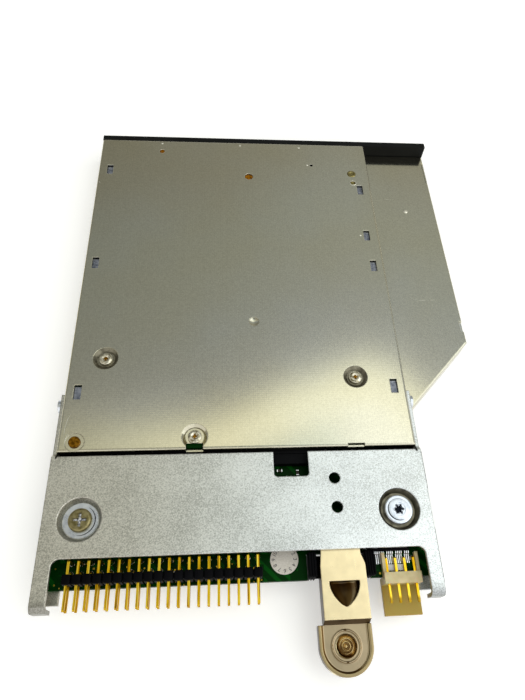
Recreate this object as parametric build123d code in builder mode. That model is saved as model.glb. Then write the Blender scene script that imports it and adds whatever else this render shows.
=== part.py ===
from build123d import *
import math
import os

# Case and top cover, in millimetres; the drive lies on its top cover, underside up
case_width = 128.0
case_length = 126.0
case_height = 12.7
deep_width = 102.5
wing_height = 7.8
wing_side_length = 88.7
wing_cut_angle = 46.0
case_sheet = 0.6
case_bend_radius = 0.7
cover_sheet = 0.5
cover_lap = 3.6
lap_clearance = 0.1
cover_panel_radius = 52.0
cover_panel_inner_radius = 20.0
cover_panel_depth = 0.2

# Slots, holes and dimples of the case floor, each as x, y
floor_slot_width = 2.2
floor_slot_length = 4.7
floor_slots_left = [(-59.8, 47.2), (-60.4, 3.2), (-60.4, -44.7)]
floor_slots_right = [(34.2, 38.9), (33.9, 16.4), (34.6, 2.7), (34.8, -43.8)]
small_floor_holes = [(-41.1, 57.5, 1.0), (16.4, 51.6, 0.6), (31.9, 42.5, 1.0), (-7.8, -20.3, 1.65)]
sensor_hole = (-8.0, 44.8)
sensor_hole_radius = 1.55
case_dimples = [(-53.4, -33.4), (23.1, -40.5), (-25.9, -59.0)]
case_dimple_mouth_radius = 3.8
case_dimple_floor_radius = 2.7
case_dimple_depth = 1.0
wing_hole = (52.2, 32.9)
wing_hole_radius = 0.7
wing_tab_slot_y = -19.4
wing_tab_slot_length = 4.2
wing_notch_y = 54.0
wing_notch_length = 11.3
wing_notch_depth = 1.1
rear_lance_x = 20.8
rear_lance_width = 5.0

# Side screw holes, M2
side_hole_radius = 0.8
side_boss_radius = 1.5
side_boss_length = 1.2
side_hole_height = 9.8
front_side_hole_y = 42.0
ear_screw_y = -48.0

# Main board and its connector to the adapter
board_thickness = 1.0
main_board_top = 11.1
main_board_rear = -62.0
main_board_front = -30.0
board_edge_clearance = 0.6
connector_width = 50.0
connector_x = -13.0
connector_height = 4.7
connector_length = 7.8
connector_proud = 0.9
connector_tongue_height = 1.8
connector_tongue_length = 3.4
connector_clearance = 0.2

# Screws
case_screw_head_radius = 2.0
case_screw_head_height = 0.7
case_screw_shank_radius = 0.9
screw_hole_clearance = 0.1
brass_stud_at = (-59.3, -60.2)
brass_stud_head_radius = 1.65
brass_ring_radius = 2.7
brass_ring_depth = 0.15
lock_post_at = (31.8, 47.3)
lock_post_radius = 1.2
lock_post_length = 4.0
lock_post_flange_radius = 1.75

# Sliding rails of the tray
rail_level = 5.8
guide_height = 2.6
guide_depth = 2.5
guide_sheet = 0.4
rail_height = 1.5
rail_depth = 2.3
rail_sheet = 0.35
rail_clearance = 0.2
tongue_clearance = 0.12
guide_front_setback = 1.0

# Tray
tray_side_gap = 3.9
tray_top = 1.1
tray_plate_top = 5.0
disc_recess_radius = 60.4
disc_recess_floor = 3.4
small_disc_radius = 41.0
small_disc_floor = 4.1
tray_rib = 1.2
tray_rib_height = 7.0
tray_front_wall = 4.2
tray_wall_height = 11.2
bezel_gap = 0.2
bezel_thickness = 3.0
bezel_rear_pocket = 1.5
bezel_height = 12.6
bezel_foot = 0.1
bezel_corner_radius = 0.8

# Eject button, light and emergency hole on the bezel
button_x = 30.0
button_z = 8.6
button_width = 9.0
button_height = 2.8
button_proud = 0.6
button_travel = 0.8
button_clearance = 0.2
button_flange = 0.8
button_flange_thickness = 0.7
button_stem_width = 3.0
button_stem_height = 1.4
light_x = 18.0
light_width = 3.0
light_height = 1.2
emergency_hole_x = 10.5
emergency_hole_radius = 0.65

# Pickup carriage and spindle, laid out along the pickup's travel
travel_direction = (-1.0, 1.0, 0.0)
chassis_level = 5.4
chassis_sheet = 0.8
chassis_back = 22.0
chassis_reach = 70.0
chassis_half_width = 19.0
chassis_end_half_width = 12.0
chassis_taper_start = 60.0
chassis_window_half_width = 14.3
chassis_window_start = 17.5
tray_window_half_width = 13.0
tray_window_end = 64.0
tray_hub_window_radius = 17.5
damper_back = 12.0
damper_front = 50.0
damper_offset = 16.3
damper_radius = 2.2
damper_hole_radius = 1.5
damper_height = 0.5
rod_offset = 12.0
rod_radius = 1.2
rod_level = 7.9
rod_start = 14.0
rod_post_gap = 0.5
rod_post_length = 2.5
rod_post_width = 3.6
rod_fit = 0.02
sled_run = 0.05
lens_start = 24.0
sled_travel = 33.0
sled_back = 6.5
sled_front = 9.0
sled_body_half_width = 10.0
sled_bearing_half_width = 13.4
sled_floor = 5.2
sled_top = 9.4
lens_radius = 2.0
lens_level = 4.2
lens_holder_length = 8.0
lens_holder_width = 11.0
lens_holder_top = 6.0
lens_holder_clearance = 0.6
focus_travel = 0.4
lead_screw_offset = 16.6
lead_screw_radius = 1.0
lead_screw_end = 62.5
sled_motor_radius = 2.7
sled_motor_start = 17.0
sled_motor_length = 12.0
sled_motor_plate = 0.8

# Spindle motor and turntable
disc_seat_level = 2.7
hub_radius = 7.4
hub_top = 1.0
turntable_radius = 15.0
turntable_pad = 0.4
rotor_radius = 13.5
rotor_wall = 0.8
rotor_top = 3.9
rotor_end = 5.9
shaft_radius = 1.0
shaft_end = 7.6
shaft_run = 0.05
motor_plate_radius = 16.0
motor_plate_top = 7.0
motor_cap_top = 8.4
motor_sleeve_radius = 3.0
stator_inner_radius = 4.0
stator_outer_radius = 12.0
stator_level = 4.4
stator_teeth = 9
catch_count = 3
catch_width = 2.4
catch_length = 3.4
catch_proud = 0.3
catch_height = 0.9
catch_travel = 0.6
catch_clearance = 0.15

# Shield and small board under the tray
shield_level = 10.9
shield_sheet = 0.4
shield_left = -57.0
shield_right = 28.0
shield_rear = -27.0
shield_front = 58.0
shield_corner_cut = 20.0
tray_board_level = 7.6
tray_board_x = 21.0
tray_board_y = 24.0
tray_board_width = 13.0
tray_board_length = 20.0
tray_board_post_spread = 6.0
tray_post_radius = 1.6

# Tray lock
lock_pivot = (27.5, 38.5)
lock_pin_radius = 1.0
lock_level = 8.2
lock_thickness = 1.4
lock_arm_length = 7.2
lock_arm_width = 2.2
lock_hook_reach = 4.8
lock_hook_width = 1.8
lock_eye_margin = 1.2
lock_swing = 22.0
lock_run = 0.05
solenoid_x = 20.5
solenoid_y = 46.0
solenoid_width = 6.0
solenoid_length = 9.0
solenoid_height = 4.6

# Rear bracket, zinc-plated sheet
bracket_sheet = 1.0
bracket_left = -65.0
bracket_right = 39.6
bracket_front = -64.3
bracket_gap_front = -76.8
bracket_gap_rear = -86.7
bracket_cutout_front = -91.3
bracket_cutout_left = -61.1
bracket_cutout_right = 36.0
bracket_rear = -103.7
bracket_bend = 2.0
bracket_tail_drop = 5.2
bracket_ear_front = -45.0
bracket_ear_top = 11.6
bracket_ear_bottom_left = 6.6
bracket_ear_bottom_right = 8.1
bracket_tab_level = 4.8
bracket_tab_reach = 5.2
bracket_tab_front = -90.0
bracket_tab_rear = -101.4
bracket_window = (-3.6, 6.3, -71.5)
bracket_relief_radius = 0.6
bracket_holes_x = 13.35
bracket_holes_y = (-72.2, -80.3)
bracket_hole_radius = 1.6
bracket_dimple_left = (-55.4, -81.5)
bracket_dimple_right = (30.6, -81.3)
bracket_dimple_mouth_radius = 5.8
bracket_dimple_floor_radius = 4.8
bracket_dimple_depth = 2.0

# Adapter board and its fasteners
adapter_thickness = 1.6
adapter_left = -63.4
adapter_right = 37.9
adapter_rear = -98.0
adapter_front = -66.9
standoff_radius = 2.6
bracket_screw_radius = 1.25
left_head_radius = 3.1
left_head_height = 1.3
left_washer_radius = 4.6
left_washer_thickness = 0.5
right_head_radius = 4.0
right_head_height = 1.4
ear_head_radius = 1.9
ear_head_height = 0.8
ear_screw_length = 3.0

# Forty pin header, right-angled
ide_columns = 20
ide_pitch = 2.54
ide_first_x = -57.0
ide_upper_level = 11.2
ide_block_front = -94.9
ide_block_rear = -97.4
ide_block_top = 12.5
ide_block_notch = 0.55
ide_tip_y = -103.5
ide_bend_y = -91.7
pin_size = 0.64
pin_taper = 0.22
pin_tail = 1.0
pin_hole_clearance = 0.12

# Four pin power header with its lock plate
power_pins = 4
power_pitch = 2.5
power_first_x = 26.0
power_pin_level = 8.2
power_bend_y = -93.4
power_tip_y = -104.6
power_bar_front = -97.1
power_bar_rear = -99.9
power_bar_top = 9.9
power_cheek_front = -92.0
power_cheek_width = 0.9
power_lock_rear = -107.3
power_lock_level = 3.9
power_lock_thickness = 1.2
power_margin = 1.3

# Catch tongue at the rear and its moulded guide
latch_x = 13.1
latch_width = 12.0
latch_neck_width = 10.6
latch_neck_front = -84.0
latch_shoulder_y = -95.0
latch_plate_top = 11.5
latch_plate_thickness = 0.9
latch_block_bottom = 6.6
latch_block_rear = -108.4
latch_slope_rear = -110.2
latch_pad_top = 9.0
latch_pad_bottom = 6.0
latch_pad_rim = 0.5
latch_pad_rim_width = 1.1
latch_pad_radius = 6.9
latch_hole_y = -113.9
latch_hole_radius = 1.6
latch_counterbore_radius = 2.7
latch_counterbore_depth = 0.9
latch_travel = 3.0
latch_stop_gap = 0.5
latch_scoop_wall_y = -99.2
latch_scoop_radius = 4.2
latch_scoop_tilt = 24.7
latch_clearance = 0.3
guide_wall = 2.2
guide_block_rear = -97.8
guide_block_top = 11.0
guide_block_floor = 4.6
guide_floor_thickness = 1.4
guide_flange = 2.0
guide_flange_thickness = 0.8
guide_rib_count = 3

# Round label on the adapter board
label_x = -1.5
label_y = -92.6
label_radius = 3.8
label_thickness = 0.12

# Places worked out from the sizes above
left = -case_width / 2
right = case_width / 2
front = case_length / 2
rear = -case_length / 2
step_x = left + deep_width
deep_middle_x = left + deep_width / 2
wing_corner_y = front - wing_side_length
wing_end_y = wing_corner_y - (right - step_x) * math.tan(math.radians(wing_cut_angle))
lap_inset = cover_sheet + lap_clearance
lap_top = cover_lap + lap_clearance
band_inside = lap_inset + case_sheet
case_floor = case_height - case_sheet
main_board_bottom = main_board_top - board_thickness
bracket_under = case_height - bracket_sheet
adapter_bottom = bracket_tab_level + bracket_sheet
adapter_top = adapter_bottom + adapter_thickness
guide_block_front = latch_shoulder_y + latch_travel + latch_stop_gap
rod_posts_end = lens_start + sled_travel + sled_front + rod_post_gap
rod_end = rod_posts_end + rod_post_length
bezel_rear = front + bezel_gap
bezel_front = bezel_rear + bezel_thickness
tray_front = bezel_rear + bezel_rear_pocket


def case_plan(inset):
    """Plan of the deep box and the wing together, drawn in by inset."""
    with BuildSketch(mode=Mode.PRIVATE) as plan:
        with BuildLine():
            Polyline(
                (left, rear),
                (left, front),
                (right, front),
                (right, wing_corner_y),
                (step_x, wing_end_y),
                (step_x, rear),
                close=True,
            )
        make_face()
        if inset:
            offset(amount=-inset, kind=Kind.INTERSECTION)
    return plan.sketch


def case_band(outer_inset, inner_inset):
    """Ring between two insets of the case plan, for walls that follow it."""
    with BuildSketch(mode=Mode.PRIVATE) as band:
        add(case_plan(outer_inset))
        add(case_plan(inner_inset), mode=Mode.SUBTRACT)
    return band.sketch


def block(x_low, x_high, y_low, y_high, z_low, z_high, mode=Mode.ADD):
    """Straight block between two corners."""
    with Locations(((x_low + x_high) / 2, (y_low + y_high) / 2, (z_low + z_high) / 2)):
        Box(x_high - x_low, y_high - y_low, z_high - z_low, mode=mode)


def round_bar(x, y, z_low, z_high, radius, mode=Mode.ADD):
    """Upright round bar."""
    with Locations((x, y, (z_low + z_high) / 2)):
        Cylinder(radius, z_high - z_low, mode=mode)


def press_dimple(x, y, face, sheet, mouth_radius, floor_radius, depth):
    """Press a conical dimple down into a sheet whose upper face is at the given height."""
    with Locations((x, y, face - sheet - depth / 2)):
        Cone(floor_radius + sheet / 2, mouth_radius + sheet / 2, depth)
    with Locations((x, y, face - depth / 2)):
        Cone(floor_radius, mouth_radius, depth, mode=Mode.SUBTRACT)


def save(sub_part, name):
    """Label a finished piece and write it out."""
    sub_part.part.label = name
    export_step(sub_part.part, f"parts/{name}.step")


os.makedirs("parts", exist_ok=True)

# Base case: deep-drawn sheet steel, deep box plus the shallow wing
with BuildPart() as base_case:
    with BuildSketch(Plane.XY.offset(lap_top)):
        add(case_plan(0))
    extrude(amount=wing_height - lap_top)
    with BuildSketch(Plane.XY.offset(lap_top)):
        with Locations((deep_middle_x, 0)):
            Rectangle(deep_width, case_length)
    extrude(amount=case_height - lap_top)
    top_edges = base_case.edges().filter_by_position(Axis.Z, case_height, case_height)
    wing_edges = base_case.edges().filter_by_position(Axis.Z, wing_height, wing_height)
    outer_wing_edges = [edge for edge in wing_edges if edge.center().X > step_x + case_sheet]
    bends = [edge for edge in top_edges + outer_wing_edges if edge.center().Y < front - case_sheet]
    fillet(bends, case_bend_radius)
    open_faces = [base_case.faces().sort_by(Axis.Z)[0], base_case.faces().sort_by(Axis.Y)[-1]]
    offset(amount=-case_sheet, openings=open_faces)
    # Lower wall, stepped inwards so that the cover laps over it
    with BuildSketch(Plane.XY.offset(lap_top)):
        add(case_band(0, band_inside))
    extrude(amount=case_sheet)
    with BuildSketch(Plane.XY.offset(cover_sheet + lap_clearance)):
        add(case_band(lap_inset, band_inside))
    extrude(amount=lap_top - cover_sheet - lap_clearance)
    block(left + band_inside, right - band_inside, front - 2 * band_inside, front + 1,
          0, lap_top + case_sheet, Mode.SUBTRACT)
    for x, y in case_dimples:
        press_dimple(x, y, case_height, case_sheet, case_dimple_mouth_radius,
                     case_dimple_floor_radius, case_dimple_depth)
    # Slots and holes through the floor
    with BuildSketch(Plane.XY.offset(case_height)):
        with Locations(*floor_slots_left, *floor_slots_right):
            Rectangle(floor_slot_width, floor_slot_length)
        for x, y, radius in small_floor_holes:
            with Locations((x, y)):
                Circle(radius)
        with Locations(sensor_hole):
            Circle(sensor_hole_radius)
        with Locations(brass_stud_at):
            Circle(case_screw_shank_radius + screw_hole_clearance)
        with Locations(lock_post_at):
            Circle(lock_post_radius)
        with Locations(*case_dimples):
            Circle(case_screw_shank_radius + screw_hole_clearance)
        with Locations(wing_hole):
            Circle(wing_hole_radius)
    extrude(amount=-(case_height - wing_height + 2 * case_sheet), mode=Mode.SUBTRACT)
    # Half dimple open at the rear edge, and a small lance beside the step
    half_dimple_x, half_dimple_y = case_dimples[2]
    half_opening = case_dimple_floor_radius * 0.9
    block(half_dimple_x - half_opening, half_dimple_x + half_opening,
          rear - 1, half_dimple_y - case_dimple_floor_radius * 0.7,
          main_board_top - case_sheet, case_height + 1, Mode.SUBTRACT)
    block(rear_lance_x - rear_lance_width / 2, rear_lance_x + rear_lance_width / 2,
          rear - 1, rear + case_bend_radius + 0.2, case_floor - 0.2, case_height + 1, Mode.SUBTRACT)
    round_bar(*brass_stud_at, case_height - brass_ring_depth, case_height, brass_ring_radius, Mode.SUBTRACT)
    # Connector opening in the rear wall
    block(connector_x - connector_width / 2 - connector_clearance,
          connector_x + connector_width / 2 + connector_clearance,
          rear - 1, rear + 2 * case_sheet,
          main_board_bottom - connector_height - connector_clearance,
          main_board_bottom + connector_clearance, Mode.SUBTRACT)
    # Wing edge: latch tab slot and relief notch
    block(right - band_inside, right + 1, wing_tab_slot_y - wing_tab_slot_length / 2,
          wing_tab_slot_y + wing_tab_slot_length / 2, wing_height - 2 * case_sheet,
          wing_height + 1, Mode.SUBTRACT)
    block(right - wing_notch_depth, right + 1, wing_notch_y - wing_notch_length / 2,
          wing_notch_y + wing_notch_length / 2, wing_height - case_sheet,
          wing_height + 1, Mode.SUBTRACT)
    # Tapped side holes with drawn collars
    for y in (front_side_hole_y, ear_screw_y):
        with Locations(Location((left + case_sheet + side_boss_length / 2, y, side_hole_height), (0, 90, 0))):
            Cylinder(side_boss_radius, side_boss_length)
        with Locations(Location((left, y, side_hole_height), (0, 90, 0))):
            Cylinder(side_hole_radius, 4 * side_boss_length, mode=Mode.SUBTRACT)
    with Locations(Location((step_x - case_sheet - side_boss_length / 2, ear_screw_y, side_hole_height),
                            (0, 90, 0))):
        Cylinder(side_boss_radius, side_boss_length)
    with Locations(Location((step_x, ear_screw_y, side_hole_height), (0, 90, 0))):
        Cylinder(side_hole_radius, 4 * side_boss_length, mode=Mode.SUBTRACT)
save(base_case, "base_case")

# Top cover: pressed sheet that laps the case walls, with a shallow pressed ring
with BuildPart() as top_cover:
    with BuildSketch():
        add(case_plan(0))
    extrude(amount=cover_sheet)
    with BuildSketch(Plane.XY.offset(cover_sheet)):
        add(case_band(0, cover_sheet))
    extrude(amount=cover_lap - cover_sheet)
    block(left + cover_sheet, right - cover_sheet, front - 2 * cover_sheet, front + 1,
          cover_sheet, cover_lap, Mode.SUBTRACT)
    with BuildSketch(Plane.XY.offset(cover_sheet)):
        Circle(cover_panel_radius + cover_sheet)
        Circle(cover_panel_inner_radius - cover_sheet, mode=Mode.SUBTRACT)
    extrude(amount=cover_panel_depth)
    with BuildSketch():
        Circle(cover_panel_radius)
        Circle(cover_panel_inner_radius, mode=Mode.SUBTRACT)
    extrude(amount=cover_panel_depth, mode=Mode.SUBTRACT)
save(top_cover, "top_cover")

# Case screws: three small pan heads seated in the dimples
dimple_floor = case_height - case_dimple_depth
with BuildPart() as case_screws:
    for x, y in case_dimples:
        round_bar(x, y, dimple_floor, dimple_floor + case_screw_head_height, case_screw_head_radius)
        round_bar(x, y, main_board_bottom, dimple_floor, case_screw_shank_radius)
save(case_screws, "case_screws")

# Brass stud at the rear corner of the floor
with BuildPart() as brass_stud:
    round_bar(*brass_stud_at, case_height, case_height + case_screw_head_height / 2, brass_stud_head_radius)
    round_bar(*brass_stud_at, main_board_top, case_height, case_screw_shank_radius)
save(brass_stud, "brass_stud")

# Lock post riveted through the floor, which the tray lock hooks behind
with BuildPart() as lock_post:
    round_bar(*lock_post_at, case_floor - lock_post_length, case_height, lock_post_radius)
    round_bar(*lock_post_at, case_floor - board_thickness / 2, case_floor, lock_post_flange_radius)
save(lock_post, "lock_post")


def channel(outer_x, side, middle, height, depth, sheet, y_low, y_high):
    """Channel along the drive that opens towards the middle; side is -1 on the left."""
    inner_x = outer_x - side * depth
    web_x = outer_x - side * sheet
    half = height / 2
    block(min(outer_x, web_x), max(outer_x, web_x), y_low, y_high, middle - half, middle + half)
    low, high = min(outer_x, inner_x), max(outer_x, inner_x)
    block(low, high, y_low, y_high, middle - half, middle - half + sheet)
    block(low, high, y_low, y_high, middle + half - sheet, middle + half)


# Guide shells on the case walls, and the rails that run in them
left_rail_rear = rear + 2.0
right_rail_rear = wing_corner_y + 1.5
rail_front = front - guide_front_setback
guide_outer_x = right - case_sheet
rail_outer_x = guide_outer_x - guide_sheet - rail_clearance
tongue_outer_x = rail_outer_x - rail_sheet - rail_clearance
with BuildPart() as guide_shell_left:
    channel(-guide_outer_x, -1, rail_level, guide_height, guide_depth, guide_sheet, left_rail_rear, rail_front)
save(guide_shell_left, "guide_shell_left")

with BuildPart() as guide_shell_right:
    channel(guide_outer_x, 1, rail_level, guide_height, guide_depth, guide_sheet, right_rail_rear, rail_front)
save(guide_shell_right, "guide_shell_right")

with BuildPart() as rail_left:
    channel(-rail_outer_x, -1, rail_level, rail_height, rail_depth, rail_sheet, left_rail_rear, rail_front)
save(rail_left, "rail_left")

with BuildPart() as rail_right:
    channel(rail_outer_x, 1, rail_level, rail_height, rail_depth, rail_sheet, right_rail_rear, rail_front)
save(rail_right, "rail_right")

# Main board under the rear of the floor, with its chips
main_board_right = step_x - case_sheet - side_boss_length - board_edge_clearance
main_board_left = left + case_sheet + side_boss_length + board_edge_clearance
with BuildPart() as main_board:
    block(main_board_left, main_board_right, main_board_rear, main_board_front,
          main_board_bottom, main_board_top)
    for x, y in case_dimples:
        round_bar(x, y, main_board_bottom, main_board_top, case_screw_shank_radius + screw_hole_clearance,
                  Mode.SUBTRACT)
save(main_board, "main_board")

chip_places = [(-34.0, -44.0, 14.0, 14.0), (-12.0, -42.0, 10.0, 18.0), (8.0, -46.0, 9.0, 9.0)]
chip_height = 1.2
with BuildPart() as board_chips:
    for x, y, width, length in chip_places:
        block(x - width / 2, x + width / 2, y - length / 2, y + length / 2,
              main_board_bottom - chip_height, main_board_bottom)
save(board_chips, "board_chips")

# Drive connector on the main board and the adapter's socket that plugs into it
connector_left = connector_x - connector_width / 2
connector_right = connector_x + connector_width / 2
connector_top = main_board_bottom
connector_bottom = connector_top - connector_height
connector_rear = rear - connector_proud
tongue_middle = (connector_top + connector_bottom) / 2
tongue_half = connector_tongue_height / 2
with BuildPart() as drive_connector:
    block(connector_left, connector_right, connector_rear, connector_rear + connector_length,
          connector_bottom, connector_top)
    block(connector_left + 2, connector_right - 2, connector_rear - 1,
          connector_rear + connector_tongue_length + connector_clearance,
          tongue_middle - tongue_half - connector_clearance,
          tongue_middle + tongue_half + connector_clearance, Mode.SUBTRACT)
save(drive_connector, "drive_connector")

with BuildPart() as adapter_socket:
    block(connector_left, connector_right, adapter_front, connector_rear - 0.1,
          connector_bottom + 0.2, connector_top - 0.2)
    block(connector_left + 2 + connector_clearance, connector_right - 2 - connector_clearance,
          connector_rear - 0.2, connector_rear + connector_tongue_length,
          tongue_middle - tongue_half, tongue_middle + tongue_half)
save(adapter_socket, "adapter_socket")


# Rear bracket: folded plate with side flanges, ears along the drive and rounded tails
def bracket_flange(x_low, ear_bottom):
    """Side flange of the bracket, one sheet thick, from x_low, with its forward ear."""
    with BuildSketch(Plane.YZ.offset(x_low)) as profile:
        with BuildLine():
            Polyline(
                (bracket_ear_front, ear_bottom),
                (bracket_ear_front, bracket_ear_top),
                (bracket_front + bracket_sheet, bracket_ear_top),
                (bracket_front, case_height),
                (bracket_gap_front, case_height),
                (bracket_gap_front, bracket_tab_level),
                (bracket_front - bracket_bend, bracket_tab_level),
                (bracket_front, ear_bottom),
                close=True,
            )
        make_face()
        with BuildLine():
            Polyline(
                (bracket_gap_rear, case_height),
                (bracket_rear + bracket_bend, case_height),
                (bracket_rear + bracket_bend, bracket_tab_level),
                (bracket_gap_rear, bracket_tab_level),
                close=True,
            )
        make_face()
    extrude(profile.sketch, amount=bracket_sheet)


def bracket_tail(x_low, x_high):
    """Rounded tail that turns down at the end of an arm."""
    with BuildSketch(Plane.YZ.offset(x_low)) as profile:
        with BuildLine():
            Line((bracket_rear + bracket_bend, bracket_under), (bracket_rear + bracket_bend, case_height))
            RadiusArc((bracket_rear + bracket_bend, case_height),
                      (bracket_rear, case_height - bracket_bend), -bracket_bend)
            Line((bracket_rear, case_height - bracket_bend), (bracket_rear, case_height - bracket_tail_drop))
            Line((bracket_rear, case_height - bracket_tail_drop),
                 (bracket_rear + bracket_sheet, case_height - bracket_tail_drop))
            Line((bracket_rear + bracket_sheet, case_height - bracket_tail_drop),
                 (bracket_rear + bracket_sheet, case_height - bracket_bend))
            RadiusArc((bracket_rear + bracket_sheet, case_height - bracket_bend),
                      (bracket_rear + bracket_bend, bracket_under), bracket_bend - bracket_sheet)
        make_face()
    extrude(profile.sketch, amount=x_high - x_low)


with BuildPart() as rear_bracket:
    with BuildSketch(Plane.XY.offset(bracket_under)):
        with Locations(((bracket_left + bracket_right) / 2, (bracket_front + bracket_rear + bracket_bend) / 2)):
            Rectangle(bracket_right - bracket_left, bracket_front - bracket_rear - bracket_bend)
        with Locations(((bracket_cutout_left + bracket_cutout_right) / 2, bracket_cutout_front - 10)):
            RectangleRounded(bracket_cutout_right - bracket_cutout_left, 20, bracket_bend, mode=Mode.SUBTRACT)
        with Locations(((bracket_cutout_left + bracket_cutout_right) / 2, bracket_cutout_front - 10)):
            Rectangle(bracket_cutout_right - bracket_cutout_left, 20 - 2 * bracket_bend, mode=Mode.SUBTRACT)
        window_left, window_right, window_rear = bracket_window
        window_length = 2 * (bracket_front - window_rear)
        with Locations(((window_left + window_right) / 2, bracket_front)):
            RectangleRounded(window_right - window_left, window_length, bracket_sheet, mode=Mode.SUBTRACT)
        with Locations(*[(bracket_holes_x, y) for y in bracket_holes_y]):
            Circle(bracket_hole_radius, mode=Mode.SUBTRACT)
        with Locations((bracket_left + bracket_sheet, bracket_front), (bracket_right - bracket_sheet, bracket_front)):
            Circle(bracket_relief_radius, mode=Mode.SUBTRACT)
    extrude(amount=bracket_sheet)
    bracket_flange(bracket_left, bracket_ear_bottom_left)
    bracket_flange(bracket_right - bracket_sheet, bracket_ear_bottom_right)
    bracket_tail(bracket_left, bracket_cutout_left)
    bracket_tail(bracket_cutout_right, bracket_right)
    block(bracket_left, bracket_left + bracket_tab_reach, bracket_tab_rear, bracket_tab_front,
          bracket_tab_level, adapter_bottom)
    block(bracket_right - bracket_tab_reach + 0.6, bracket_right, bracket_tab_rear, bracket_tab_front,
          bracket_tab_level, adapter_bottom)
    for x, y in (bracket_dimple_left, bracket_dimple_right):
        press_dimple(x, y, case_height, bracket_sheet, bracket_dimple_mouth_radius,
                     bracket_dimple_floor_radius, bracket_dimple_depth)
        round_bar(x, y, adapter_top, case_height, bracket_screw_radius + screw_hole_clearance, Mode.SUBTRACT)
    with Locations(Location((bracket_left, ear_screw_y, side_hole_height), (0, 90, 0)),
                   Location((bracket_right, ear_screw_y, side_hole_height), (0, 90, 0))):
        Cylinder(side_hole_radius + 2 * screw_hole_clearance, 4 * bracket_sheet, mode=Mode.SUBTRACT)
save(rear_bracket, "rear_bracket")

# Ear screws, one on each side of the drive
with BuildPart() as ear_screws:
    for side, face in ((-1, bracket_left), (1, bracket_right)):
        with Locations(Location((face + side * ear_head_height / 2, ear_screw_y, side_hole_height), (0, 90, 0))):
            Cylinder(ear_head_radius, ear_head_height)
        with Locations(Location((face - side * ear_screw_length / 2, ear_screw_y, side_hole_height),
                                (0, 90, 0))):
            Cylinder(side_hole_radius - rod_fit, ear_screw_length)
save(ear_screws, "ear_screws")

# Adapter board with its notch for the catch guide and holes for pins and screws
guide_half_width = latch_width / 2 + latch_clearance + guide_wall
power_pin_x = [power_first_x + power_pitch * i for i in range(power_pins)]
ide_pin_x = [ide_first_x + ide_pitch * i for i in range(ide_columns)]
ide_rows = [(ide_upper_level, ide_bend_y), (ide_upper_level - ide_pitch, ide_bend_y - ide_pitch)]
pin_hole = pin_size + 2 * pin_hole_clearance
with BuildPart() as adapter_board:
    block(adapter_left, adapter_right, adapter_rear, adapter_front, adapter_bottom, adapter_top)
    block(latch_x - guide_half_width - 0.1, latch_x + guide_half_width + 0.1, adapter_rear - 1,
          guide_block_front + 0.1, adapter_bottom, adapter_top, Mode.SUBTRACT)
    with BuildSketch(Plane.XY.offset(adapter_top)):
        with Locations(*[(x, bend_y) for x in ide_pin_x for level, bend_y in ide_rows]):
            Rectangle(pin_hole, pin_hole)
        with Locations(*[(x, power_bend_y) for x in power_pin_x]):
            Rectangle(pin_hole, pin_hole)
        with Locations(bracket_dimple_left, bracket_dimple_right):
            Circle(bracket_screw_radius + screw_hole_clearance)
    extrude(amount=-adapter_thickness, mode=Mode.SUBTRACT)
save(adapter_board, "adapter_board")

dimple_under = case_height - bracket_dimple_depth - bracket_sheet
with BuildPart() as board_standoffs:
    for x, y in (bracket_dimple_left, bracket_dimple_right):
        round_bar(x, y, adapter_top, dimple_under, standoff_radius)
        round_bar(x, y, adapter_top, dimple_under, bracket_screw_radius + screw_hole_clearance, Mode.SUBTRACT)
save(board_standoffs, "board_standoffs")

bracket_seat = case_height - bracket_dimple_depth
with BuildPart() as bracket_washer_left:
    round_bar(*bracket_dimple_left, bracket_seat, bracket_seat + left_washer_thickness, left_washer_radius)
    round_bar(*bracket_dimple_left, bracket_seat, bracket_seat + left_washer_thickness,
              bracket_screw_radius + screw_hole_clearance, Mode.SUBTRACT)
save(bracket_washer_left, "bracket_washer_left")

left_head_seat = bracket_seat + left_washer_thickness
with BuildPart() as bracket_screw_left:
    round_bar(*bracket_dimple_left, left_head_seat, left_head_seat + left_head_height, left_head_radius)
    fillet(bracket_screw_left.edges().sort_by(Axis.Z)[-1], left_head_height * 0.6)
    with BuildSketch(Plane.XY.offset(left_head_seat + left_head_height)):
        with Locations(bracket_dimple_left):
            Rectangle(left_head_radius * 1.15, left_head_radius * 0.24)
            Rectangle(left_head_radius * 0.24, left_head_radius * 1.15)
    extrude(amount=-left_head_height * 0.6, mode=Mode.SUBTRACT)
    round_bar(*bracket_dimple_left, adapter_bottom, left_head_seat, bracket_screw_radius)
save(bracket_screw_left, "bracket_screw_left")

with BuildPart() as bracket_screw_right:
    round_bar(*bracket_dimple_right, bracket_seat, bracket_seat + right_head_height, right_head_radius)
    fillet(bracket_screw_right.edges().sort_by(Axis.Z)[-1], right_head_height * 0.3)
    with BuildSketch(Plane.XY.offset(bracket_seat + right_head_height)):
        with Locations(bracket_dimple_right):
            Circle(right_head_radius * 0.3)
            with PolarLocations(right_head_radius * 0.3, 6):
                Circle(right_head_radius * 0.09)
    extrude(amount=-right_head_height * 0.6, mode=Mode.SUBTRACT)
    round_bar(*bracket_dimple_right, adapter_bottom, bracket_seat, bracket_screw_radius)
save(bracket_screw_right, "bracket_screw_right")


def bent_pin(x, level, bend_y, tip_y):
    """Right-angled square pin: a run to the rear and a leg down through the board."""
    half = pin_size / 2
    leg_end = adapter_bottom - pin_tail
    with BuildSketch(Plane.YZ.offset(x - half)) as profile:
        with BuildLine():
            Polyline(
                (bend_y + half, leg_end),
                (bend_y + half, level + half - pin_size * 0.6),
                (bend_y + half - pin_size * 0.6, level + half),
                (tip_y + pin_taper * 2, level + half),
                (tip_y, level + half - pin_taper),
                (tip_y, level - half + pin_taper),
                (tip_y + pin_taper * 2, level - half),
                (bend_y - half, level - half),
                (bend_y - half, leg_end),
                close=True,
            )
        make_face()
    extrude(profile.sketch, amount=pin_size)


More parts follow.
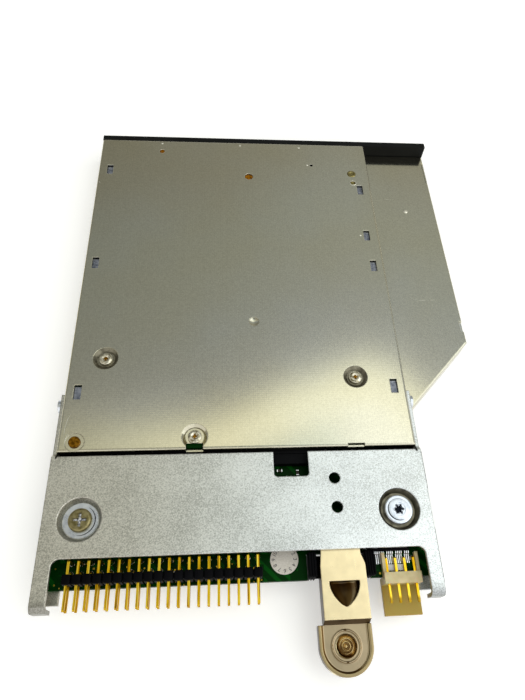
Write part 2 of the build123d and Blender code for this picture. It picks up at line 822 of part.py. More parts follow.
# Forty pin header: moulded block with a groove between columns, and its pins
with BuildPart() as ide_header_body:
    block(ide_pin_x[0] - ide_pitch / 2, ide_pin_x[-1] + ide_pitch / 2, ide_block_rear, ide_block_front,
          adapter_top, ide_block_top)
    notch_x = [x + ide_pitch / 2 for x in ide_pin_x[:-1]]
    notch_places = [(x, y) for x in notch_x for y in (ide_block_rear, ide_block_front)]
    with BuildSketch(Plane.XY.offset(ide_block_top)):
        with Locations(*notch_places):
            Rectangle(ide_block_notch * 1.4, ide_block_notch * 1.4, rotation=45)
    extrude(amount=-(ide_block_top - adapter_top), mode=Mode.SUBTRACT)
    pin_places = [(x, level) for x in ide_pin_x for level, bend_y in ide_rows]
    with BuildSketch(Plane.XZ.offset(-ide_block_front)):
        with Locations(*pin_places):
            Rectangle(pin_size, pin_size)
    extrude(amount=ide_block_front - ide_block_rear, mode=Mode.SUBTRACT)
save(ide_header_body, "ide_header_body")

with BuildPart() as ide_header_pins:
    for x in ide_pin_x:
        for level, bend_y in ide_rows:
            bent_pin(x, level, bend_y, ide_tip_y)
save(ide_header_pins, "ide_header_pins")

# Power header: nylon bar, side cheeks and the lock plate below the pins
power_left = power_pin_x[0] - power_margin
power_right = power_pin_x[-1] + power_margin
with BuildPart() as power_header_body:
    block(power_left, power_right, power_bar_rear, power_bar_front, power_lock_level, power_bar_top)
    block(power_left, power_right, power_lock_rear, power_bar_rear, power_lock_level,
          power_lock_level + power_lock_thickness)
    for x in (power_left, power_right - power_cheek_width):
        block(x, x + power_cheek_width, power_bar_front, power_cheek_front, adapter_top,
              power_bar_top - power_cheek_width)
    with BuildSketch(Plane.XZ.offset(-power_bar_front)):
        with Locations(*[(x, power_pin_level) for x in power_pin_x]):
            Rectangle(pin_size, pin_size)
    extrude(amount=power_bar_front - power_bar_rear, mode=Mode.SUBTRACT)
    block(power_left, power_right, adapter_rear - 0.1, power_bar_front, power_lock_level,
          adapter_top, Mode.SUBTRACT)
save(power_header_body, "power_header_body")

with BuildPart() as power_header_pins:
    for x in power_pin_x:
        bent_pin(x, power_pin_level, power_bend_y, power_tip_y)
save(power_header_pins, "power_header_pins")

# Round paper label on the board
with BuildPart() as round_label:
    round_bar(label_x, label_y, adapter_top, adapter_top + label_thickness, label_radius)
save(round_label, "round_label")

# Catch guide: moulded trough in the board's notch, flanged over the board
guide_left = latch_x - guide_half_width
guide_right = latch_x + guide_half_width
trough_half = latch_width / 2 + latch_clearance
with BuildPart() as latch_guide:
    block(guide_left, guide_right, guide_block_rear, guide_block_front, guide_block_floor, guide_block_top)
    block(latch_x - trough_half, latch_x + trough_half, guide_block_rear - 1, guide_block_front + 1,
          guide_block_floor + guide_floor_thickness, guide_block_top + 1, Mode.SUBTRACT)
    block(guide_left - guide_flange, guide_left + guide_wall / 2, guide_block_rear, guide_block_front,
          adapter_top, adapter_top + guide_flange_thickness)
    block(guide_right - guide_wall / 2, guide_right + guide_flange, guide_block_rear, guide_block_front,
          adapter_top, adapter_top + guide_flange_thickness)
    rib_pitch = (guide_block_front - guide_block_rear) / (guide_rib_count + 1)
    for i in range(guide_rib_count):
        y = guide_block_rear + rib_pitch * (i + 1)
        for x in (guide_left, guide_right):
            block(x - 0.4, x + 0.4, y - 0.4, y + 0.4, adapter_top + guide_flange_thickness, guide_block_top + 1,
                  Mode.SUBTRACT)
save(latch_guide, "latch_guide")

# Catch tongue: plated casting with a thumb scoop and a drilled round pad
pad_middle_y = latch_hole_y
with BuildPart() as latch_slide:
    block(latch_x - latch_neck_width / 2, latch_x + latch_neck_width / 2, latch_shoulder_y - 1,
          latch_neck_front, latch_plate_top - latch_plate_thickness, latch_plate_top)
    with BuildSketch(Plane.YZ.offset(latch_x - latch_width / 2)):
        with BuildLine():
            Polyline(
                (latch_shoulder_y, latch_block_bottom),
                (latch_shoulder_y, latch_plate_top),
                (latch_block_rear, latch_plate_top),
                (latch_slope_rear, latch_pad_top),
                (latch_slope_rear, latch_pad_bottom),
                (latch_block_rear, latch_pad_bottom),
                (latch_block_rear + 2, latch_block_bottom),
                close=True,
            )
        make_face()
    extrude(amount=latch_width)
    with BuildSketch(Plane.XY.offset(latch_pad_bottom)):
        with Locations((latch_x, pad_middle_y)):
            Circle(latch_pad_radius)
        with Locations((latch_x, (latch_block_rear + pad_middle_y) / 2)):
            Rectangle(2 * latch_pad_radius, latch_block_rear - pad_middle_y)
    extrude(amount=latch_pad_top - latch_pad_bottom)
    with BuildSketch(Plane.XY.offset(latch_pad_top)):
        with Locations((latch_x, pad_middle_y)):
            Circle(latch_pad_radius)
            Circle(latch_pad_radius - latch_pad_rim_width, mode=Mode.SUBTRACT)
        with Locations((latch_x, pad_middle_y + latch_pad_radius / 2)):
            Rectangle(2 * latch_pad_radius, latch_pad_radius, mode=Mode.SUBTRACT)
        rim_length = latch_slope_rear - pad_middle_y
        for side in (-1, 1):
            with Locations((latch_x + side * (latch_pad_radius - latch_pad_rim_width / 2),
                            pad_middle_y + rim_length / 2)):
                Rectangle(latch_pad_rim_width, rim_length)
    extrude(amount=latch_pad_rim)
    with Locations((latch_x, pad_middle_y, latch_pad_top)):
        CounterBoreHole(latch_hole_radius, latch_counterbore_radius, latch_counterbore_depth,
                        depth=latch_pad_top - latch_pad_bottom + 1)
    # Thumb scoop: a tilted round cutter stopped by a flat wall
    scoop_plane = Plane(
        origin=(latch_x, latch_scoop_wall_y, latch_plate_top),
        x_dir=(1, 0, 0),
        z_dir=(0, -math.cos(math.radians(latch_scoop_tilt)), math.sin(math.radians(latch_scoop_tilt))),
    )
    with BuildSketch(scoop_plane):
        Circle(latch_scoop_radius)
    scoop = extrude(amount=latch_scoop_radius * 3, both=True, mode=Mode.PRIVATE)
    front_half = Location((latch_x, latch_scoop_wall_y + 15, latch_plate_top)) * Box(30, 30, 30, mode=Mode.PRIVATE)
    add(scoop - front_half, mode=Mode.SUBTRACT)
save(latch_slide, "latch_slide")


def travel_plane(level):
    """Level plane at the spindle, its x along the pickup's travel."""
    return Plane(origin=(0, 0, level), x_dir=travel_direction, z_dir=(0, 0, 1))


# Traverse chassis: pressed plate that carries spindle, rods and pickup
post_places = [(start, side) for start in (rod_start, rod_posts_end) for side in (-1, 1)]
with BuildPart() as traverse_chassis:
    with BuildSketch(travel_plane(chassis_level)):
        with BuildLine():
            Polyline(
                (-chassis_back, -chassis_half_width),
                (chassis_taper_start, -chassis_half_width),
                (chassis_reach, -chassis_end_half_width),
                (chassis_reach, chassis_end_half_width),
                (chassis_taper_start, chassis_half_width),
                (-chassis_back, chassis_half_width),
                close=True,
            )
        make_face()
        with Locations(((chassis_window_start + rod_posts_end) / 2, 0)):
            Rectangle(rod_posts_end - chassis_window_start, 2 * chassis_window_half_width - 5,
                      mode=Mode.SUBTRACT)
        Circle(rotor_radius + lens_holder_clearance, mode=Mode.SUBTRACT)
        with Locations(*[(u, side * damper_offset) for u in (-damper_back, damper_front) for side in (-1, 1)]):
            Circle(damper_hole_radius, mode=Mode.SUBTRACT)
        with Locations((sled_motor_start + sled_motor_length / 2, -chassis_half_width)):
            Rectangle(sled_motor_length, 2 * (chassis_half_width - lead_screw_offset + sled_motor_radius) + 0.4,
                      mode=Mode.SUBTRACT)
    extrude(amount=chassis_sheet)
    with BuildSketch(travel_plane(chassis_level + chassis_sheet)):
        for start, side in post_places:
            with Locations((start + rod_post_length / 2, side * rod_offset)):
                Rectangle(rod_post_length, rod_post_width)
    extrude(amount=rod_level + rod_radius + 0.6 - chassis_level - chassis_sheet)
    with BuildSketch(Plane(origin=(0, 0, rod_level), x_dir=(-1, -1, 0), z_dir=travel_direction)):
        with Locations((-rod_offset, 0), (rod_offset, 0)):
            Circle(rod_radius + rod_fit)
    extrude(amount=rod_end + 1, mode=Mode.SUBTRACT)
save(traverse_chassis, "traverse_chassis")


def travel_bar(offset_across, level, radius, start, end):
    """Round bar that runs along the pickup's travel."""
    across = Plane(origin=(0, 0, level), x_dir=(-1, -1, 0), z_dir=travel_direction)
    with BuildSketch(across.offset(start)) as profile:
        with Locations((offset_across, 0)):
            Circle(radius)
    extrude(profile.sketch, amount=end - start)


with BuildPart() as guide_rod_main:
    travel_bar(rod_offset, rod_level, rod_radius, rod_start, rod_end)
save(guide_rod_main, "guide_rod_main")

with BuildPart() as guide_rod_sub:
    travel_bar(-rod_offset, rod_level, rod_radius, rod_start, rod_end)
save(guide_rod_sub, "guide_rod_sub")

# Sled motor and the lead screw that it turns
screw_start = sled_motor_start + sled_motor_length + sled_motor_plate
with BuildPart() as sled_motor:
    travel_bar(-lead_screw_offset, rod_level, sled_motor_radius, sled_motor_start,
               sled_motor_start + sled_motor_length)
    with BuildSketch(travel_plane(chassis_level + chassis_sheet)):
        with Locations((screw_start - sled_motor_plate / 2, -lead_screw_offset)):
            Rectangle(sled_motor_plate, 2 * sled_motor_radius)
    extrude(amount=rod_level + sled_motor_radius - chassis_level - chassis_sheet)
save(sled_motor, "sled_motor")

with BuildPart() as lead_screw:
    travel_bar(-lead_screw_offset, rod_level, lead_screw_radius, screw_start + 0.1, lead_screw_end)
save(lead_screw, "lead_screw")

# Pickup sled on the two rods
sled_start = lens_start - sled_back
sled_end = lens_start + sled_front
with BuildPart() as pickup_sled:
    with BuildSketch(travel_plane(sled_floor)):
        with Locations(((sled_start + sled_end) / 2, 0)):
            Rectangle(sled_end - sled_start, 2 * (sled_body_half_width - 1.5))
    extrude(amount=sled_top - sled_floor)
    with BuildSketch(travel_plane(chassis_level + chassis_sheet + 0.3)):
        with Locations(((sled_start + sled_end) / 2, 0)):
            Rectangle(sled_end - sled_start, 2 * sled_bearing_half_width)
    extrude(amount=sled_top - chassis_level - chassis_sheet - 0.3)
    with BuildSketch(travel_plane(sled_floor - 1)):
        with Locations((lens_start, 0)):
            Rectangle(lens_holder_length + 2 * lens_holder_clearance,
                      lens_holder_width + 2 * lens_holder_clearance)
    extrude(amount=lens_holder_top + lens_holder_clearance - sled_floor + 1, mode=Mode.SUBTRACT)
    with BuildSketch(Plane(origin=(0, 0, rod_level), x_dir=(-1, -1, 0), z_dir=travel_direction)):
        with Locations((-rod_offset, 0), (rod_offset, 0)):
            Circle(rod_radius + sled_run)
    extrude(amount=rod_end, mode=Mode.SUBTRACT)
save(pickup_sled, "pickup_sled")

# Lens holder that floats in the sled, and its lens
with BuildPart() as lens_holder:
    with BuildSketch(travel_plane(lens_level + 0.6)):
        with Locations((lens_start, 0)):
            RectangleRounded(lens_holder_length, lens_holder_width, 1.2)
    extrude(amount=lens_holder_top - lens_level - 0.6 - focus_travel)
    with BuildSketch(travel_plane(lens_level + 0.2)):
        with Locations((lens_start, 0)):
            Circle(lens_radius + 0.8)
    extrude(amount=1.0)
    with BuildSketch(travel_plane(lens_level - 1)):
        with Locations((lens_start, 0)):
            Circle(lens_radius)
    extrude(amount=2.4, mode=Mode.SUBTRACT)
save(lens_holder, "lens_holder")

lens_x = -lens_start * math.sqrt(0.5)
lens_y = lens_start * math.sqrt(0.5)
with BuildPart() as lens:
    with Locations((lens_x, lens_y, lens_level + 0.9)):
        Cylinder(lens_radius, 1.0)
    fillet(lens.edges().group_by(Axis.Z)[0], 0.45)
save(lens, "lens")

# Spindle motor: base plate, bearing sleeve and toothed stator
with BuildPart() as spindle_motor:
    round_bar(0, 0, chassis_level + chassis_sheet, motor_plate_top, motor_plate_radius)
    round_bar(0, 0, stator_level, motor_cap_top, motor_sleeve_radius)
    with BuildSketch(Plane.XY.offset(stator_level + 0.4)):
        Circle(stator_inner_radius + 1)
        with PolarLocations((stator_inner_radius + stator_outer_radius) / 2, stator_teeth):
            Rectangle(stator_outer_radius - stator_inner_radius, 2.0)
    extrude(amount=chassis_level + chassis_sheet - stator_level - 0.4)
    round_bar(0, 0, stator_level - 1, shaft_end + 0.2, shaft_radius + shaft_run, Mode.SUBTRACT)
save(spindle_motor, "spindle_motor")

# Turntable: disc pad, rotor cup, hub and shaft in one turned profile
with BuildPart() as turntable:
    with BuildSketch(Plane.XZ):
        with BuildLine():
            Polyline(
                (0, hub_top),
                (hub_radius - 1.0, hub_top),
                (hub_radius, hub_top + 0.7),
                (hub_radius, disc_seat_level),
                (turntable_radius, disc_seat_level),
                (turntable_radius, disc_seat_level + turntable_pad),
                (rotor_radius, disc_seat_level + turntable_pad),
                (rotor_radius, rotor_end),
                (rotor_radius - rotor_wall, rotor_end),
                (rotor_radius - rotor_wall, rotor_top),
                (shaft_radius, rotor_top),
                (shaft_radius, shaft_end),
                (0, shaft_end),
                close=True,
            )
        make_face()
    revolve(axis=Axis.Z)
    with BuildSketch(Plane.XY.offset(hub_top - 1)):
        with PolarLocations(hub_radius - catch_length / 2 - catch_travel / 2, catch_count):
            Rectangle(catch_length + catch_travel + 2 * catch_clearance + 1, catch_width + 2 * catch_clearance)
    extrude(amount=1 + 1.3, mode=Mode.SUBTRACT)
save(turntable, "turntable")

# Three sprung catches that hold the disc on the hub
for i in range(catch_count):
    turn = math.radians(360 / catch_count * i)
    middle = hub_radius + catch_proud - catch_length / 2
    with BuildPart() as disc_catch:
        with BuildSketch(Plane(origin=(0, 0, hub_top + 0.2), x_dir=(math.cos(turn), math.sin(turn), 0),
                               z_dir=(0, 0, 1))):
            with Locations((middle, 0)):
                Rectangle(catch_length, catch_width)
        extrude(amount=catch_height)
        fillet(disc_catch.edges().group_by(Axis.Z)[0], 0.15)
    save(disc_catch, f"disc_catch_{i + 1}")

# Rubber dampers between chassis and tray
with BuildPart() as traverse_dampers:
    with BuildSketch(travel_plane(tray_plate_top)):
        with Locations(*[(u, side * damper_offset) for u in (-damper_back, damper_front) for side in (-1, 1)]):
            Circle(damper_hole_radius - 0.05)
    extrude(amount=chassis_level + chassis_sheet - tray_plate_top)
    with BuildSketch(travel_plane(chassis_level + chassis_sheet)):
        with Locations(*[(u, side * damper_offset) for u in (-damper_back, damper_front) for side in (-1, 1)]):
            Circle(damper_radius)
    extrude(amount=damper_height)
save(traverse_dampers, "traverse_dampers")

# Tray: moulded carrier with two disc recesses, window, side runners and front wall
tray_half_width = right - tray_side_gap
tray_wall_right = step_x - case_sheet - 0.7
shield_posts = [(shield_left + 3, shield_rear + 5), (shield_right - 4, shield_rear + 5),
                (shield_right - 4, 8.0), (shield_left + 3, 0.0)]
with BuildPart() as tray:
    with BuildSketch(Plane.XY.offset(tray_top)):
        add(case_plan(tray_side_gap))
        with Locations((0, (tray_front + front) / 2 - 5)):
            Rectangle(2 * tray_half_width, tray_front - front + 10)
    extrude(amount=tray_plate_top - tray_top)
    round_bar(0, 0, tray_top - 1, disc_recess_floor, disc_recess_radius, Mode.SUBTRACT)
    round_bar(0, 0, tray_top - 1, small_disc_floor, small_disc_radius, Mode.SUBTRACT)
    # Stiffening rib round the edge
    with BuildSketch(Plane.XY.offset(tray_plate_top)):
        add(case_band(tray_side_gap, tray_side_gap + tray_rib))
    extrude(amount=tray_rib_height - tray_plate_top)
    block(tray_rib - tray_half_width, tray_half_width - tray_rib, front - tray_side_gap - 2 * tray_rib,
          tray_front - tray_front_wall, tray_plate_top, tray_rib_height, Mode.SUBTRACT)
    block(connector_left - 1, connector_right + 1, rear, connector_rear + connector_length + 1,
          tray_plate_top, tray_rib_height, Mode.SUBTRACT)
    # Front wall behind the bezel, tall on the deep side and low under the wing
    block(-tray_half_width, tray_wall_right, tray_front - tray_front_wall, tray_front,
          tray_top + 0.4, tray_wall_height)
    block(tray_wall_right, tray_half_width, tray_front - tray_front_wall, tray_front,
          tray_top + 0.4, tray_rib_height)
    # Runners that slide in the rails
    for side, runner_rear in ((-1, left_rail_rear), (1, right_rail_rear)):
        edge = side * tray_half_width
        tip = side * tongue_outer_x
        half = rail_height / 2 - rail_sheet - tongue_clearance
        block(min(edge - side * tray_rib, tip), max(edge - side * tray_rib, tip), runner_rear + 3,
              rail_front - 3, rail_level - half, rail_level + half)
    # Window for spindle and pickup
    with BuildSketch(travel_plane(tray_top - 1)):
        Circle(tray_hub_window_radius)
        with Locations((tray_window_end / 2, 0)):
            Rectangle(tray_window_end, 2 * tray_window_half_width)
    extrude(amount=tray_plate_top - tray_top + 1, mode=Mode.SUBTRACT)
    # Posts for the shield and the small board
    for x, y in shield_posts:
        round_bar(x, y, tray_plate_top, shield_level, tray_post_radius)
    for side in (-1, 1):
        round_bar(tray_board_x, tray_board_y + side * tray_board_post_spread, tray_plate_top,
                  tray_board_level, tray_post_radius)
    round_bar(*lock_pivot, tray_plate_top, lock_level, tray_post_radius)
    round_bar(*lock_pivot, lock_level, lock_level + lock_thickness + 0.3, lock_pin_radius)
    # Pocket and passage for the eject button
    block(button_x - button_width / 2 - button_flange - button_clearance,
          button_x + button_width / 2 + button_flange + button_clearance,
          tray_front - button_flange_thickness - button_travel - 0.3, tray_front + 1,
          button_z - button_height / 2 - button_flange - button_clearance,
          tray_wall_height + 1, Mode.SUBTRACT)
    block(button_x - button_stem_width / 2 - button_clearance, button_x + button_stem_width / 2 + button_clearance,
          tray_front - tray_front_wall - 1, tray_front,
          button_z - button_stem_height / 2 - button_clearance,
          button_z + button_stem_height / 2 + button_clearance, Mode.SUBTRACT)
save(tray, "tray")

# Bezel on the front of the tray
with BuildPart() as bezel:
    block(left, right, bezel_rear, bezel_front, bezel_foot, bezel_height)
    fillet(bezel.edges().group_by(Axis.Y)[-1], bezel_corner_radius)
    block(-tray_half_width - 0.1, tray_wall_right + 0.1, bezel_rear - 1, tray_front,
          tray_top + 0.3, tray_wall_height + 0.1, Mode.SUBTRACT)
    block(0, tray_half_width + 0.1, bezel_rear - 1, tray_front, tray_top - 0.1, tray_rib_height + 0.1, Mode.SUBTRACT)
    block(-tray_half_width - 0.1, 0, bezel_rear - 1, tray_front, tray_top - 0.1, tray_rib_height, Mode.SUBTRACT)
    block(button_x - button_width / 2 - button_clearance, button_x + button_width / 2 + button_clearance,
          bezel_rear, bezel_front + 1, button_z - button_height / 2 - button_clearance,
          button_z + button_height / 2 + button_clearance, Mode.SUBTRACT)
    block(light_x - light_width / 2, light_x + light_width / 2, bezel_rear, bezel_front + 1,
          button_z - light_height / 2, button_z + light_height / 2, Mode.SUBTRACT)
    with BuildSketch(Plane.XZ.offset(-bezel_front)):
        with Locations((emergency_hole_x, button_z)):
            Circle(emergency_hole_radius)
    extrude(amount=bezel_thickness, mode=Mode.SUBTRACT)
save(bezel, "bezel")

with BuildPart() as eject_button:
    block(button_x - button_width / 2, button_x + button_width / 2, tray_front - 0.1,
          bezel_front + button_proud, button_z - button_height / 2, button_z + button_height / 2)
    fillet(eject_button.edges().group_by(Axis.Y)[-1], 0.3)
    block(button_x - button_width / 2 - button_flange, button_x + button_width / 2 + button_flange,
          tray_front - 0.1 - button_flange_thickness, tray_front - 0.1,
          button_z - button_height / 2 - button_flange, button_z + button_height / 2 + button_flange * 0.8)
    block(button_x - button_stem_width / 2, button_x + button_stem_width / 2,
          tray_front - tray_front_wall + 0.2, tray_front - 0.1,
          button_z - button_stem_height / 2, button_z + button_stem_height / 2)
save(eject_button, "eject_button")

with BuildPart() as activity_light:
    block(light_x - light_width / 2, light_x + light_width / 2, tray_front, bezel_front - 0.1,
          button_z - light_height / 2, button_z + light_height / 2)
save(activity_light, "activity_light")

# Shield plate over the mechanism
with BuildPart() as tray_shield:
    with BuildSketch(Plane.XY.offset(shield_level)):
        with BuildLine():
            Polyline(
                (shield_left, shield_rear),
                (shield_left, shield_front),
                (shield_right - 2 * shield_corner_cut, shield_front),
                (shield_right - shield_corner_cut, shield_front - shield_corner_cut),
                (shield_right, shield_front - shield_corner_cut),
                (shield_right, shield_rear),
                close=True,
            )
        make_face()
    extrude(amount=shield_sheet)
save(tray_shield, "tray_shield")

with BuildPart() as tray_board:
    block(tray_board_x - tray_board_width / 2, tray_board_x + tray_board_width / 2,
          tray_board_y - tray_board_length / 2, tray_board_y + tray_board_length / 2,
          tray_board_level, tray_board_level + board_thickness * 0.8)
save(tray_board, "tray_board")

# Tray lock: lever that hooks behind the post, and its solenoid
lock_plane = Plane(
    origin=(lock_pivot[0], lock_pivot[1], lock_level),
    x_dir=(math.cos(math.radians(lock_swing)), math.sin(math.radians(lock_swing)), 0),
    z_dir=(0, 0, 1),
)
with BuildPart() as lock_lever:
    with BuildSketch(lock_plane):
        Circle(lock_pin_radius + lock_eye_margin)
        with Locations((0, lock_arm_length / 2)):
            Rectangle(lock_arm_width, lock_arm_length)
        with Locations(((lock_hook_reach - lock_arm_width / 2) / 2, lock_arm_length - lock_hook_width / 2)):
            Rectangle(lock_hook_reach + lock_arm_width / 2, lock_hook_width)
        Circle(lock_pin_radius + lock_run, mode=Mode.SUBTRACT)
    extrude(amount=lock_thickness)
save(lock_lever, "lock_lever")

with BuildPart() as solenoid:
    with BuildSketch(Plane(origin=(solenoid_x, solenoid_y, tray_plate_top), x_dir=(1, 1, 0), z_dir=(0, 0, 1))):
        Rectangle(solenoid_length, solenoid_width)
    extrude(amount=solenoid_height)
save(solenoid, "solenoid")
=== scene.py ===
import math
import random

import bmesh
import bpy
from mathutils import Matrix, Vector


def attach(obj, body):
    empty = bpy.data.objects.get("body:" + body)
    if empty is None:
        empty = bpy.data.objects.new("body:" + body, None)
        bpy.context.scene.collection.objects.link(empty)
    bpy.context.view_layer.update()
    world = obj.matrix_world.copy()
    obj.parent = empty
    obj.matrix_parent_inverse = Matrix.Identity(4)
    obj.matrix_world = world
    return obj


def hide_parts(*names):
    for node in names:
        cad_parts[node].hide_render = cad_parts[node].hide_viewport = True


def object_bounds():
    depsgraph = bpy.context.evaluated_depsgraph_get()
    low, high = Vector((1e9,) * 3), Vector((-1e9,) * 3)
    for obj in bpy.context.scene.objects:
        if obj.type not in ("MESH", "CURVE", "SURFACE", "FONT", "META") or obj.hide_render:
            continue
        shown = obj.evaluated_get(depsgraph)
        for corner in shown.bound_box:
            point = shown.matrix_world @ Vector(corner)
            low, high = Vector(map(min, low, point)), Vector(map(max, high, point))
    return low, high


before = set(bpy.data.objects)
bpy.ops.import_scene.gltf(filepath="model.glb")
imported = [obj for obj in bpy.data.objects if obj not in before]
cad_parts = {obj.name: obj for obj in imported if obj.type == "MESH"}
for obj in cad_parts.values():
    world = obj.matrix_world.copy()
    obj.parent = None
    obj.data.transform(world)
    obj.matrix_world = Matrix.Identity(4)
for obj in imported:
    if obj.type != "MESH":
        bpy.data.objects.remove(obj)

cad_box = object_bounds()
MM = 0.001


# Camera: a hand-held view of the underside from behind the drive, looking down its length.
# Place and angles were fitted to the case's known corners. Its film is 36 mm on the long side.
CAMERA_PLACE = Vector((-16.44, -120.12, 170.74)) * MM
CAMERA_YAW, CAMERA_PITCH, CAMERA_ROLL = 0.174, -1.032, 0.145
IMAGE_LONG_SIDE = 700
FOCAL_PIXELS = 578.43
AXIS_OFFSET_PIXELS = (16.455, 10.517)


def set_camera():
    """Adds the camera and points it by yaw, pitch and roll."""
    forward = Vector((
        math.sin(CAMERA_YAW) * math.cos(CAMERA_PITCH),
        math.cos(CAMERA_YAW) * math.cos(CAMERA_PITCH),
        math.sin(CAMERA_PITCH),
    ))
    level = Vector((math.cos(CAMERA_YAW), -math.sin(CAMERA_YAW), 0))
    over = level.cross(forward)
    side = math.cos(CAMERA_ROLL) * level + math.sin(CAMERA_ROLL) * over
    top = -math.sin(CAMERA_ROLL) * level + math.cos(CAMERA_ROLL) * over
    data = bpy.data.cameras.new("camera")
    data.sensor_width = 36
    data.lens = FOCAL_PIXELS / IMAGE_LONG_SIDE * data.sensor_width
    data.shift_x = -AXIS_OFFSET_PIXELS[0] / IMAGE_LONG_SIDE
    data.shift_y = -AXIS_OFFSET_PIXELS[1] / IMAGE_LONG_SIDE
    data.clip_start = 0.005
    camera = bpy.data.objects.new("camera", data)
    turn = Matrix((side, top, -forward)).transposed()
    camera.matrix_world = Matrix.Translation(CAMERA_PLACE) @ turn.to_4x4()
    bpy.context.scene.collection.objects.link(camera)
    bpy.context.scene.camera = camera


set_camera()
bpy.context.scene.view_settings.view_transform = "Standard"


# Studio: a pale floor and white walls under one broad soft panel, with a duller ceiling in front of it.
# The panel is laid out by slope: how far a direction leans sideways and forwards for each unit up.
# Its slanting front edge is what turns the rear of the polished case bright.
def linear(code, times=1.0):
    """Turns an sRGB hex colour into linear RGBA."""
    values = [int(code[i:i + 2], 16) / 255 for i in (1, 3, 5)]
    return [times * (v / 12.92 if v <= 0.04045 else ((v + 0.055) / 1.055) ** 2.4) for v in values] + [1.0]


def add(tree, kind, settings=None, links=None):
    """Adds a node, sets its inputs or properties, and links sockets into it."""
    item = tree.nodes.new(kind)
    for name, value in (settings or {}).items():
        if name == "stops":
            elements = item.color_ramp.elements
            while len(elements) < len(value):
                elements.new(0.5)
            for element, (place, colour) in zip(elements, value):
                element.position = place
                element.color = colour
        elif isinstance(name, int) or name in item.inputs:
            item.inputs[name].default_value = value
        else:
            setattr(item, name, value)
    for name, source in (links or {}).items():
        tree.links.new(source, item.inputs[name])
    return item


def grey(level):
    """Plain grey as linear RGBA."""
    return [level, level, level, 1.0]


STUDIO_STRENGTH, LOWEST_RISE = 1.75, 0.05
LEAN_RANGE, DEPTH_RANGE = (-0.35, 0.5), (-0.2, 0.6)
NEAR_END, PANEL_END, WALL_TOP = (-0.14, -0.09), (-0.03, 0.01), (0.03, 0.12)
SPOT_LEAN, SPOT_RADIUS, SPOT_LEVEL = (0.1, -0.2), (0.2, 0.29), 0.3
FILL_RANGE, FILL_SHARE, FILL_LEVEL = (-0.4, -0.8), 0.8, 0.72
BLEND = {"data_type": "RGBA"}
MULTIPLY = {"data_type": "RGBA", "blend_type": "MULTIPLY", 0: 1.0}
SMOOTH = {"interpolation_type": "SMOOTHSTEP"}
PANEL_EDGE = [(0.0, grey(0.415)), (0.36, grey(0.43)), (0.42, grey(0.443)), (0.53, grey(0.494)),
              (0.65, grey(0.532)), (0.74, grey(0.56)), (0.8, grey(0.54)), (0.86, grey(0.47)), (1.0, grey(0.43))]
TINT_BY_DEPTH = [
    (0.0, (0.93, 0.96, 0.95, 1)),
    (0.09, (0.93, 0.96, 0.93, 1)),
    (0.14, (0.96, 0.96, 0.82, 1)),
    (0.19, (0.95, 0.95, 0.77, 1)),
    (0.22, (0.72, 0.73, 0.64, 1)),
    (0.25, (0.38, 0.395, 0.4, 1)),
    (0.28, (0.3, 0.315, 0.33, 1)),
    (0.34, (0.255, 0.27, 0.285, 1)),
    (0.5, (0.24, 0.257, 0.262, 1)),
    (0.775, (0.228, 0.243, 0.235, 1)),
    (1.0, (0.205, 0.203, 0.178, 1)),
]
NEAR_ACROSS = [(0.08, (0.29, 0.27, 0.235, 1)), (0.3, (0.36, 0.36, 0.335, 1)), (0.46, (0.47, 0.5, 0.49, 1)),
               (0.62, (0.74, 0.8, 0.8, 1)), (0.68, grey(1.0)), (0.73, grey(1.1)), (1.0, grey(1.08))]
PANEL_ACROSS = [(0.0, grey(0.35)), (0.23, grey(0.7)), (0.37, grey(0.9)), (0.53, grey(1.0)), (0.82, grey(1.08))]
CEILING_ACROSS = [(0.0, grey(0.8)), (0.23, grey(0.92)), (0.41, grey(1.0)), (0.65, grey(1.12)), (0.9, grey(1.22))]

world = bpy.data.worlds.new("studio")
bpy.context.scene.world = world
world.use_nodes = True
sky = world.node_tree
sky.nodes.clear()
direction = add(sky, "ShaderNodeTexCoord")
split = add(sky, "ShaderNodeSeparateXYZ", links={0: direction.outputs["Generated"]})
upward = add(sky, "ShaderNodeMath", {"operation": "MAXIMUM", 1: LOWEST_RISE}, {0: split.outputs["Z"]})
lean_side, lean_front = [add(sky, "ShaderNodeMath", {"operation": "DIVIDE"}, {0: split.outputs[axis],
                             1: upward.outputs[0]}).outputs[0] for axis in "XY"]
across = add(sky, "ShaderNodeMapRange", {"From Min": LEAN_RANGE[0], "From Max": LEAN_RANGE[1]},
             {"Value": lean_side})
edge, over_near, over_panel, over_ceiling = [
    add(sky, "ShaderNodeValToRGB", {"stops": stops}, {"Fac": across.outputs[0]}).outputs[0]
    for stops in (PANEL_EDGE, NEAR_ACROSS, PANEL_ACROSS, CEILING_ACROSS)]
past_edge = add(sky, "ShaderNodeMath", {"operation": "SUBTRACT"}, {0: lean_front, 1: edge}).outputs[0]
depth = add(sky, "ShaderNodeMapRange", {"From Min": DEPTH_RANGE[0], "From Max": DEPTH_RANGE[1]},
            {"Value": past_edge})
by_depth = add(sky, "ShaderNodeValToRGB", {"stops": TINT_BY_DEPTH}, {"Fac": depth.outputs[0]})
in_near, in_panel = [
    add(sky, "ShaderNodeMapRange", {**SMOOTH, "From Min": start, "From Max": end, "To Min": 1.0, "To Max": 0.0},
        {"Value": past_edge}).outputs[0] for start, end in (NEAR_END, PANEL_END)]
panel_level = add(sky, "ShaderNodeMix", BLEND, {0: in_near, 6: over_panel, 7: over_near})
side_level = add(sky, "ShaderNodeMix", BLEND, {0: in_panel, 6: over_ceiling, 7: panel_level.outputs[2]})
lit = add(sky, "ShaderNodeMix", MULTIPLY, {6: by_depth.outputs[0], 7: side_level.outputs[2]})
lean = add(sky, "ShaderNodeCombineXYZ", links={0: lean_side, 1: lean_front})
spot_distance = add(sky, "ShaderNodeVectorMath", {"operation": "DISTANCE", 1: (*SPOT_LEAN, 0)},
                    {0: lean.outputs[0]})
